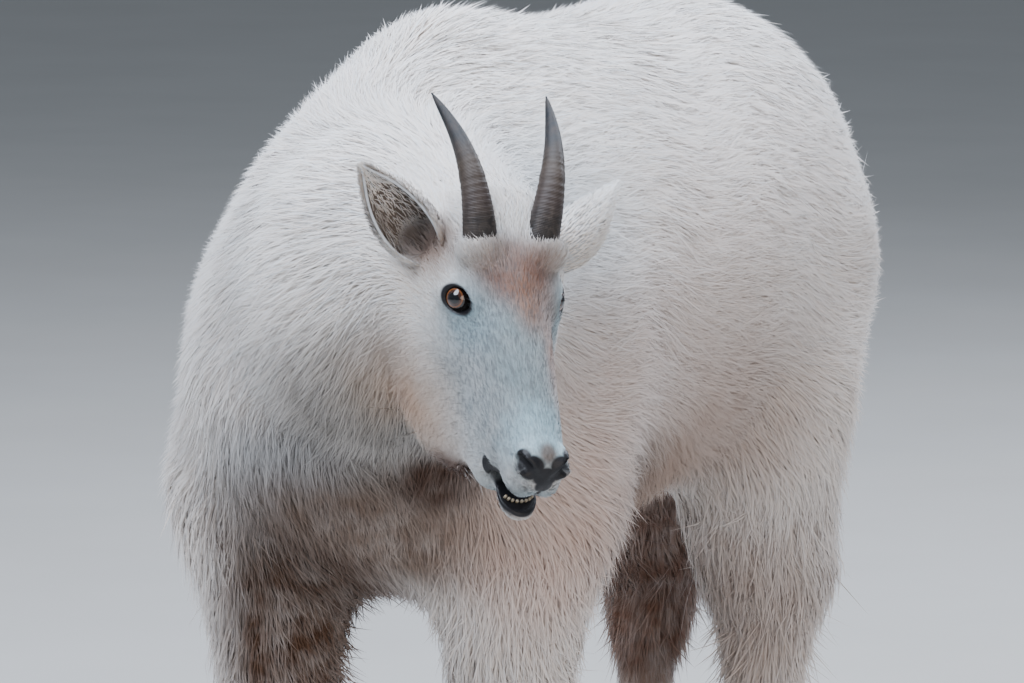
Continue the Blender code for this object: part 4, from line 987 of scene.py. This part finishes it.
coatMaterial = makeCoatMaterial()
headHere = headShare(triMiddle)
ownMiddle = triMiddle - shift
onHead = headHere > 0.5
left = ownMiddle[:, 0] > 0
upperLeg = (ownMiddle[:, 2] < 0.46) & ((np.abs(ownMiddle[:, 0]) > 0.05) | (ownMiddle[:, 2] < 0.36))
onNeck = ~onHead & (ownMiddle[:, 1] < -0.36) & (ownMiddle[:, 2] > 0.50)
trunk = ~onHead & ~onNeck & ~upperLeg
faceLocal = toHead(triMiddle)
faceDensity = 1.0 + 1.5 * smooth(-faceLocal[:, 1], 0.02, 0.10) * headHere + 1.2 * beardShare(triMiddle)
foreHalf = ownMiddle[:, 1] < 0.0
headLeft = faceLocal[:, 0] > 0

coatPieces = [
    # name, where, tufts, width, clump size, wildness, spread to the clump, kind
    ("coatHeadRight", onHead & ~headLeft, 52000, 0.0013, 0.006, 0.24, 0.25, "fine"),
    ("coatHeadLeft", onHead & headLeft, 36000, 0.0014, 0.006, 0.24, 0.25, "fine"),
    ("coatNeck", onNeck, 64000, 0.0012, 0.011, 0.15, 0.42, "fine"),
    ("coatShoulderLeft", trunk & foreHalf & left, 60000, 0.0013, 0.012, 0.16, 0.40, "fine"),
    ("coatShoulderRight", trunk & foreHalf & ~left, 42000, 0.0016, 0.013, 0.22, 0.35, "fine"),
    ("coatRumpLeft", trunk & ~foreHalf & left, 62000, 0.0013, 0.012, 0.16, 0.40, "fine"),
    ("coatRumpRight", trunk & ~foreHalf & ~left, 38000, 0.0016, 0.013, 0.22, 0.35, "fine"),
    ("coatForelegs", upperLeg & foreHalf, 36000, 0.0014, 0.014, 0.20, 0.45, "long"),
    ("coatHindLegs", upperLeg & ~foreHalf, 36000, 0.0014, 0.014, 0.20, 0.45, "long"),
]
for number, (name, where, count, width, clump, wild, spread, kind) in enumerate(coatPieces):
    growTufts(name, where, count, 11 + number, width, clump, wild, spread, kind,
              density=faceDensity if name.startswith("coatHead") else 1.0)


# Pieces of horn, made as closed tubes through rings of points

def ringFaces(rings, sides):
    # Quads from ring to ring, and a flat cap of quads at either end
    faces = []
    for ring in range(rings - 1):
        for step in range(sides):
            here, after = ring * sides + step, ring * sides + (step + 1) % sides
            faces.append((here, after, after + sides, here + sides))
    last = (rings - 1) * sides
    for k in range(sides // 2 - 1):
        faces.append((sides - 1 - k, sides - 2 - k, k + 1, k))
        faces.append((last + k, last + k + 1, last + sides - 2 - k, last + sides - 1 - k))
    return np.array(faces)


def tubeMesh(centres, radii, sides, guide=(1.0, 0.0, 0.0)):
    centres = np.asarray(centres, float)
    along = unit(np.gradient(centres, axis=0))
    side = unit(np.array(guide) - along * (along @ np.array(guide))[:, None])
    up = np.cross(along, side)
    angles = 2 * np.pi * np.arange(sides) / sides
    radii = np.asarray(radii)
    if radii.ndim == 1:
        radii = np.repeat(radii[:, None], sides, 1)
    spoke = side[:, None] * np.cos(angles)[None, :, None] + up[:, None] * np.sin(angles)[None, :, None]
    points = (centres[:, None] + spoke * radii[:, :, None]).reshape(-1, 3)
    return points, ringFaces(len(centres), sides)


def joined(parts):
    points, faces, count = [], [], 0
    for some, rows in parts:
        points.append(some)
        faces.append(rows + count)
        count += len(some)
    return np.concatenate(points), np.concatenate(faces)


horn = {"length": 0.163, "bulge": 0.029, "radius": 0.0175, "rings": 150, "sides": 28,
        "ringGap": 0.0042, "ringHeight": 0.00036, "tipRadius": 0.0009, "uneven": 0.022, "lines": 820.0,
        "strongHeight": 0.0006, "strongAt": 0.40, "strongWidth": 0.014,
        # The left horn of this animal leans out a little more
        "root": {1: (0.0275, -0.010, -0.010), -1: (-0.0315, -0.010, -0.010)}, "spread": {1: 0.036, -1: 0.023},
        "colours": [(0.0, "#14100e"), (0.14, "#1d1816"), (0.26, "#3a302c"), (0.46, "#40372f"),
                    (0.62, "#2a2b2d"), (0.76, "#1a1e23"), (1.0, "#12161b")], "worn": "#544941"}


def makeHornMaterial():
    # Keratin sheath: satin, slate black at the tip, greyer and drier lower down, with fine growth lines
    material, tree, shader, place = newMaterial("hornKeratin", 0.42, 1.55)
    share = attribute(tree, "alongHorn")
    streaks = noise(tree, place, 90.0, 5.0, roughness=0.65, distortion=0.6)
    ramp = addNode(tree, "ShaderNodeValToRGB", {"Fac": share})
    stops = horn["colours"]
    for element, (where, tint) in zip(ramp.color_ramp.elements, (stops[0], stops[-1])):
        element.position, element.color = where, linear(tint)
    for where, tint in stops[1:-1]:
        stop = ramp.color_ramp.elements.new(where)
        stop.color = linear(tint)
    colour = mixed(tree, ranged(tree, streaks, 0.42, 0.70, 0.0, 0.5), ramp.outputs[0], horn["worn"])
    feed(tree, shader, {"Base Color": colour, "Specular IOR Level": 0.35,
                        "Roughness": ranged(tree, streaks, 0.0, 1.0, 0.32, 0.70)})
    # Growth lines about 1 mm apart run round the horn
    wave = maths(tree, "SINE", maths(tree, "MULTIPLY", share, horn["lines"]))
    bumped(tree, shader, maths(tree, "ADD", wave, streaks), 0.30, 0.0004)
    return material


def buildHorn(name, side, material):
    share = np.linspace(0.0, 1.0, horn["rings"] + 1)
    bow = horn["bulge"] * np.sin(np.pi * share ** 0.9)
    curve = np.stack([side * horn["spread"][side] * share, horn["length"] * share, bow], 1)
    local = np.array(horn["root"][side]) + curve
    taper = (1.0 - share) ** 0.62 * (1.0 - 0.18 * share)
    # Worn rings stand out low down and fade towards the smooth tip, and one ring is stronger
    wave = np.sin(2 * np.pi * share * horn["length"] / horn["ringGap"] * (1.0 + 0.12 * np.sin(9 * share)))
    ringed = horn["ringHeight"] * np.clip(wave, -0.2, 1.0)
    ringed = ringed * smooth(-share, -0.62, -0.40) * smooth(share, 0.08, 0.16)
    strong = horn["strongHeight"] * np.exp(-((share - horn["strongAt"]) / horn["strongWidth"]) ** 2)
    radii = np.maximum(horn["radius"] * taper, horn["tipRadius"]) + ringed + strong
    sides = horn["sides"]
    angles = 2 * np.pi * np.arange(sides) / sides
    waves = np.sin(3 * angles[None] + 7 * share[:, None]) * smooth(-share, -0.8, -0.2)[:, None]
    uneven = 1.0 + horn["uneven"] * waves
    points, faces = tubeMesh(fromHead(local), radii[:, None] * uneven, sides)
    piece = meshPiece(name, points, faces)
    setFloat(piece, "alongHorn", np.repeat(share, sides))
    piece.data.materials.append(material)
    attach(piece, "root")
    return piece


hornMaterial = makeHornMaterial()
for word, side in (("left", 1), ("right", -1)):
    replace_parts(buildHorn(f"hornSheath_{word}", side, hornMaterial), f"horn_{word}")
print("horns")


# Ears: a rolled leaf of skin, white outside and dark inside, with hair on the back and along the rim

def makeEarMaterial():
    # Ear skin: thin and matt, near white with short hair outside, brown and sparsely haired in the cup
    material, tree, shader, place = newMaterial("earSkin", 0.7, 1.40)
    inside = attribute(tree, "earInside")
    grain = noise(tree, place, 150.0, 5.0, roughness=0.7)
    back, cup = (mixed(tree, grain, *ear[part]) for part in ("back", "cup"))
    feed(tree, shader, {"Base Color": mixed(tree, inside, back, cup)})
    bumped(tree, shader, grain, 0.5, 0.001)
    return material


def earGrid(side):
    rows, columns = ear["rows"], ear["columns"]
    along = unit(np.array([ear["lie"][side]]))[0]
    opening = np.array(ear["open"][side])
    opening = opening - along * (opening @ along)
    opening = opening / np.linalg.norm(opening)
    across = np.cross(along, opening) * side
    share = np.linspace(0.0, 1.0, rows + 1)
    swell = 0.30 + 0.70 * np.sin(np.pi * (0.12 + share * 0.88))
    half = ear["half"] * swell * (1.0 - share ** 5)
    roll = np.radians(158 - 92 * share)
    radius = half / np.maximum(np.sin(np.minimum(roll, np.pi / 2)), 0.5) + 0.0016
    centre = earRoot(side) + along * (ear["length"] * share)[:, None]
    centre = centre - opening * (ear["lean"] * share * share)[:, None]
    centre = centre + opening * (radius * 0.6)[:, None]
    turns = roll[:, None] * np.linspace(-1.0, 1.0, columns + 1)[None]
    spoke = across * np.sin(turns)[:, :, None] - opening * np.cos(turns)[:, :, None]
    ripple = 0.0010 * np.sin(9 * share)[:, None] * np.abs(np.linspace(-1, 1, columns + 1)) ** 6
    outer = centre[:, None] + spoke * (radius[:, None] + ripple)[:, :, None]
    inner = centre[:, None] + spoke * np.maximum(radius[:, None] + ripple - ear["wall"], 0.0006)[:, :, None]
    return outer, inner, along, spoke, share


def buildEar(name, side, material):
    outer, inner, _, _, share = earGrid(side)
    wide, back = ear["columns"] + 1, outer.shape[0] * outer.shape[1]
    faces = []
    for row in range(ear["rows"]):
        for column in range(ear["columns"]):
            here = row * wide + column
            near = back + here
            faces.append((here, here + 1, here + wide + 1, here + wide))
            faces.append((near + wide, near + wide + 1, near + 1, near))
        first, last = row * wide, row * wide + wide - 1
        faces.append((first, first + wide, back + first + wide, back + first))
        faces.append((last + wide, last, back + last, back + last + wide))
    for column in range(ear["columns"]):
        top = ear["rows"] * wide + column
        faces.append((column + 1, column, back + column, back + column + 1))
        faces.append((top, top + 1, back + top + 1, back + top))
    faces = np.array(faces)
    if side < 0:
        faces = faces[:, ::-1]
    points = fromHead(np.concatenate([outer.reshape(-1, 3), inner.reshape(-1, 3)]))
    piece = meshPiece(name, points, faces)
    rim = np.abs(np.tile(np.linspace(-1.0, 1.0, wide), ear["rows"] + 1))
    inside = (1.0 - smooth(rim, 0.78, 0.98)) * (1.0 - 0.6 * smooth(np.repeat(share, wide), 0.90, 1.0))
    setFloat(piece, "earInside", np.concatenate([np.zeros(back), inside]))
    piece.data.materials.append(material)
    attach(piece, "root")
    return piece


# Tufts on the ear's back, along its rim and in its cup: how many, how long, and how the lengths vary
earFur = {"counts": (4600, 2400, 800), "lengths": (0.0095, 0.0090, 0.0140), "range": (0.6, 1.3),
          "shorter": 0.35, "roll": 0.8, "width": 0.0009}


def growEarFur(name, side, seed):
    # Short hair on the back, a fringe along the rim and sparse longer hair inside the cup
    draws = np.random.default_rng(seed)
    outer, inner, along, spoke, _ = earGrid(side)
    rows, columns = ear["rows"], ear["columns"]
    total = sum(earFur["counts"])
    kinds = np.repeat(np.arange(3), earFur["counts"])
    row = (draws.random(total) ** 1.15 * (rows - 1)).astype(int)
    edge = np.where(draws.random(total) < 0.5, 0.0, 1.0)
    fringe = np.abs(edge - 0.05 * draws.random(total))
    anywhere, insideCup = draws.random(total), 0.15 + 0.7 * draws.random(total)
    column = np.where(kinds == 0, anywhere, np.where(kinds == 1, fringe, insideCup))
    column = np.clip((column * columns).round().astype(int), 0, columns)
    sideWay = np.where(column > columns / 2, 1.0, -1.0)[:, None]
    normals = spoke[row, column] * np.where(kinds == 2, -1.0, 1.0)[:, None]
    local = np.where((kinds == 2)[:, None], inner[row, column], outer[row, column])
    local = local + along * (draws.random(total) * ear["length"] / rows)[:, None]
    across = unit(np.cross(along, spoke[row, column]))
    rimWay = unit(along * 0.9 + across * sideWay * 0.5 * side)
    ways = np.where((kinds == 1)[:, None], rimWay, along + 0.12 * normals)
    ways = unit(ways + 0.16 * draws.normal(0, 1, (total, 3)))
    lengths = np.choose(kinds, earFur["lengths"]) * draws.uniform(*earFur["range"], total)
    lengths = lengths * (1.0 - earFur["shorter"] * row / rows)
    roots, normals, ways = fromHead(local), normals @ headAxes.T, ways @ headAxes.T
    flat = unit(np.cross(normals, ways))
    roll = draws.uniform(-earFur["roll"], earFur["roll"], total)[:, None]
    flat = flat * np.cos(roll) + normals * np.sin(roll)
    rings = []
    for step in tuft["fine"]["shares"]:
        clear = 0.0006 + 0.0012 * step * (kinds != 1)
        rings.append(roots + ways * (lengths * step)[:, None] + normals * clear[:, None])
    widths = np.full(total, earFur["width"])
    return bladePiece(name, tuft["fine"], rings, flat, widths, normals, ways, roots, draws)


earMaterial = makeEarMaterial()
for word, side in (("left", 1), ("right", -1)):
    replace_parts(buildEar(f"earShell_{word}", side, earMaterial), f"ear_{word}")
    growEarFur(f"coatEar_{word}", side, 31 + side)
print("ears")


# Eyes: a globe with a slight cornea, a dark iris with a thin amber ring, and a wide level pupil

eyeball = {"radius": 0.0162, "iris": 0.0100, "cornea": 0.0012,
           "irisInner": "#4a2a1c", "irisOuter": "#1f120d", "white": "#120d0b",
           "ring": "#74431f", "pupil": "#06060a",
           # In millimetres: where the iris is centred, and how far the ring, the white and the pupil reach
           "look": (-1.7, 0.0, 0.0), "ringFrom": (7.5, 8.2), "whiteFrom": (8.7, 9.4),
           "pupilSize": (6.2, 5.0, 1.0)}


def makeEyeMaterial(name, side):
    # Wet globe: near-black brown with fine spokes, one amber ring and a wide dark pupil, under a clear gloss
    material, tree, shader, place = newMaterial(name, 0.12, 1.376)
    frameHere = eyeFrame(side)
    # In millimetres from the eye's middle
    local = turnedInto(tree, place, frameHere.to_translation(), frameHere.to_euler(), (0.001, 0.001, 0.001))
    parts = addNode(tree, "ShaderNodeSeparateXYZ", {0: local}).outputs
    flat = addNode(tree, "ShaderNodeCombineXYZ", {"X": parts["X"], "Y": parts["Y"]}).outputs[0]
    inputs = {0: flat, 1: eyeball["look"]}
    flat = addNode(tree, "ShaderNodeVectorMath", inputs, operation="SUBTRACT").outputs[0]
    reach = lengthOf(tree, flat)
    colour = mixed(tree, noise(tree, flat, 1.3, 6.0), eyeball["irisOuter"], eyeball["irisInner"])
    # A thin amber ring near the iris's rim
    colour = mixed(tree, ranged(tree, reach, *eyeball["ringFrom"]), colour, eyeball["ring"])
    colour = mixed(tree, ranged(tree, reach, *eyeball["whiteFrom"]), colour, eyeball["white"])
    inPupil = addNode(tree, "ShaderNodeMapping", {"Vector": flat, "Scale": eyeball["pupilSize"]},
                      vector_type="TEXTURE").outputs[0]
    colour = mixed(tree, ranged(tree, lengthOf(tree, inPupil), 1.06, 0.92), colour, eyeball["pupil"])
    feed(tree, shader, {"Base Color": colour, "Coat Weight": 1.0, "Coat Roughness": 0.03})
    return material


def buildEye(name, side):
    sides, rings = 40, 28
    theta = np.linspace(0.0, np.pi, rings + 1)[:, None]
    phi = 2 * np.pi * np.arange(sides)[None] / sides
    radius = eyeball["radius"]
    out = radius * np.sin(theta)
    bulge = eyeball["cornea"] * np.exp(-(out / (0.75 * eyeball["iris"])) ** 4) * (theta < 1.3)
    local = np.stack([out * np.cos(phi), out * np.sin(phi), (radius * np.cos(theta) + bulge) + 0 * phi], -1)
    local[:, :, :2] += 1e-5 * np.stack([np.cos(phi), np.sin(phi)], -1) * (out[:, :, None] < 1e-4)
    faces = []
    for ring in range(rings):
        for step in range(sides):
            here, after = ring * sides + step, ring * sides + (step + 1) % sides
            faces.append((here, here + sides, after + sides, after))
    turn = np.array(eyeFrame(side))
    points = local.reshape(-1, 3) @ turn[:3, :3].T + turn[:3, 3]
    piece = meshPiece(name, points, np.array(faces))
    piece.data.materials.append(makeEyeMaterial(f"wetEye_{name.split('_')[1]}", side))
    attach(piece, "root")
    return piece


for word, side in (("left", 1), ("right", -1)):
    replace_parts(buildEye(f"eyeGlobe_{word}", side), f"eye_{word}")
print("eyes")


# Teeth: eight small lower incisors in a row

teeth = {"count": 8, "wide": 0.0150, "deep": 0.0090, "tall": 0.0050, "back": -0.2258, "level": -0.0772,
         "spread": 1.25, "halfWidth": 0.00135, "halfDepth": 0.0015, "squareness": 0.75,
         "enamel": "#b5aa94", "root": "#7d6a50"}


def makeToothMaterial():
    # Enamel: glossy ivory, stained brown in patches
    material, tree, shader, place = newMaterial("toothEnamel", 0.22, 1.62)
    stain = noise(tree, place, 260.0, 3.0)
    feed(tree, shader, {"Base Color": mixed(tree, stain, teeth["root"], teeth["enamel"]),
                        "Subsurface Weight": 0.1, "Subsurface Radius": (0.002, 0.0015, 0.001)})
    return material


def buildTeeth():
    parts = []
    rows, sides = 10, 12
    phi = 2 * np.pi * np.arange(sides) / sides
    for number in range(teeth["count"]):
        turn = teeth["spread"] * (2.0 * (number + 0.5) / teeth["count"] - 1.0)
        middle = np.array((teeth["wide"] * math.sin(turn), teeth["back"] - teeth["deep"] * math.cos(turn),
                           teeth["level"]))
        out = np.array((math.sin(turn), -math.cos(turn), 0.0))
        along = np.array((math.cos(turn), math.sin(turn), 0.0))
        rings = []
        for row in range(rows + 1):
            rise = -1.0 + 2.0 * row / rows
            full = (1.0 - max(rise, 0.0) ** 4 * 0.9) ** 0.5 * (1.0 + 0.10 * rise)
            half, thick = (np.sign(wave) * np.abs(wave) ** teeth["squareness"] * size * full for wave, size in
                           ((np.cos(phi), teeth["halfWidth"]), (np.sin(phi), teeth["halfDepth"])))
            rings.append(middle + along * half[:, None] + out * thick[:, None]
                         + np.array((0.0, 0.0, rise * teeth["tall"] / 2)))
        parts.append((fromHead(np.concatenate(rings)), ringFaces(rows + 1, sides)))
    piece = meshPiece("incisors", *joined(parts))
    piece.data.materials.append(makeToothMaterial())
    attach(piece, "root")
    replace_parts(piece, "teeth_lower")


buildTeeth()
print("teeth")


# Hooves: two toes to a foot with flat soles, and the two small claws behind the fetlock

hoof = {"height": 0.052, "length": 0.082, "width": 0.039, "spread": 0.0200, "ahead": 0.0520,
        "clawSpread": 0.0165, "clawBehind": 0.0180, "sides": 40, "rows": 26,
        "horn": ("#1b1715", "#4c433d"), "scuffed": "#8b7f74", "scuffEnd": 0.016, "lines": 1900.0,
        # Up the wall of a toe: heights, how wide it is there, and how far it leans back
        "levels": (0.0, 0.0015, 0.010, 0.034, 0.052), "sizes": (0.975, 1.0, 1.0, 0.88, 0.76),
        "leans": (0.0, 0.0, 0.003, 0.014, 0.021),
        # Down a small claw: shares of its length and radii
        "clawShares": (0.0, 0.35, 0.7, 0.92, 1.0), "clawRadii": (0.0085, 0.0095, 0.0080, 0.0055, 0.0030)}


def makeHoofMaterial():
    # Hoof keratin: dry, dark grey-brown, with growth lines and scuffed pale towards the ground
    material, tree, shader, place = newMaterial("hoofKeratin", 0.55, 1.55)
    high = addNode(tree, "ShaderNodeSeparateXYZ", {0: place}).outputs["Z"]
    grain = noise(tree, place, 110.0, 6.0, roughness=0.65)
    colour = mixed(tree, grain, *hoof["horn"])
    scuff = maths(tree, "MULTIPLY", ranged(tree, high, hoof["scuffEnd"], 0.0), grain)
    feed(tree, shader, {"Base Color": mixed(tree, scuff, colour, hoof["scuffed"])})
    # Growth lines about 3 mm apart
    wave = maths(tree, "SINE", maths(tree, "MULTIPLY", high, hoof["lines"]))
    bumped(tree, shader, maths(tree, "ADD", wave, grain), 0.4, 0.0008)
    return material


def toeMesh(x, y, side):
    sides, rows = hoof["sides"], hoof["rows"]
    angle = 2 * np.pi * np.arange(sides) / sides
    ahead = -np.cos(angle)
    across = np.sin(angle) * np.where(np.sin(angle) * side < 0, 0.78, 1.0)
    across = across * (1.0 - 0.34 * np.maximum(0.0, -ahead) ** 2)
    rings = []
    for row in range(rows + 1):
        share = row / rows
        height = hoof["height"] * share
        size, back = (np.interp(height, hoof["levels"], hoof[values]) for values in ("sizes", "leans"))
        ridge = 1.0 + 0.010 * math.sin(height * 900) * (0.1 < share < 0.9)
        rings.append(np.stack([x + shift[0] + across * hoof["width"] / 2 * size * ridge,
                               y + shift[1] + ahead * hoof["length"] / 2 * size * ridge + back,
                               np.full(sides, height)], 1))
    return np.concatenate(rings), ringFaces(rows + 1, sides)


def clawMesh(x, y):
    share = np.linspace(0.0, 1.0, 15)
    start, end = np.array((x, y, 0.088)), np.array((x, y + 0.020, 0.062))
    centres = start + (end - start) * share[:, None] + shift * (1, 1, 0)
    radii = np.interp(share, hoof["clawShares"], hoof["clawRadii"])
    return tubeMesh(centres, radii, 18)


def buildHooves():
    parts, nodes = [], []
    for name, side, footY, fore in legList():
        leg = name.replace("L", "_l").replace("R", "_r")
        jointY = footY if fore else footY + 0.014
        for word, inner in (("outer", side), ("inner", -side)):
            x = side * pose["trackHalf"] + inner * hoof["spread"]
            parts.append(toeMesh(x, jointY - hoof["ahead"], inner))
            clawX = side * pose["trackHalf"] + inner * hoof["clawSpread"]
            parts.append(clawMesh(clawX, jointY + hoof["clawBehind"]))
            nodes += [f"hoof_{leg}_{word}", f"dewclaw_{leg}_{word}"]
    piece = meshPiece("hooves", *joined(parts))
    piece.data.materials.append(makeHoofMaterial())
    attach(piece, "root")
    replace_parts(piece, *nodes)


buildHooves()
print("hooves")


# Floor and light

def buildStage():
    material, tree, shader, place = newMaterial("matteFloor", 0.85)
    grain = noise(tree, place, 3.0, 3.0)
    feed(tree, shader, {"Base Color": mixed(tree, grain, "#b4b2ae", "#bebcb8")})
    corners = np.array([(-30, -30, 0), (30, -30, 0), (30, 30, 0), (-30, 30, 0)], float)
    floor = meshPiece("floor", corners, np.array([[0, 1, 2, 3]]), False)
    floor.data.materials.append(material)
    world = bpy.data.worlds.new("studio")
    bpy.context.scene.world = world
    world.use_nodes = True
    feed(world.node_tree, world.node_tree.nodes["Background"], {"Color": "#bcc7d4", "Strength": 0.42})


lights = [
    # name, place, aim, width, power, colour
    ("keyLight", (-0.8, -3.2, 4.3), (0.1, -0.3, 0.7), 3.2, 340.0, "#e6efff"),
    ("fillLight", (4.2, -2.8, 1.6), (0.1, -0.3, 0.6), 3.2, 80.0, "#fff2e8"),
    ("topLight", (0.2, 0.2, 4.6), (0.0, 0.0, 0.8), 3.6, 300.0, "#e6efff"),
    ("rimLight", (0.5, 4.0, 3.2), (0.0, 0.0, 0.7), 2.4, 160.0, "#e6efff"),
]


def addLights():
    for name, place, aim, width, power, tint in lights:
        data = bpy.data.lights.new(name, "AREA")
        data.shape, data.size, data.energy = "DISK", width, power
        data.color = linear(tint)[:3]
        lamp = bpy.data.objects.new(name, data)
        bpy.context.scene.collection.objects.link(lamp)
        aimed = (Vector(place) - Vector(aim)).to_track_quat("Z", "Y").to_matrix().to_4x4()
        lamp.matrix_world = Matrix.Translation(place) @ aimed


buildStage()
addLights()
print("floor and lights")
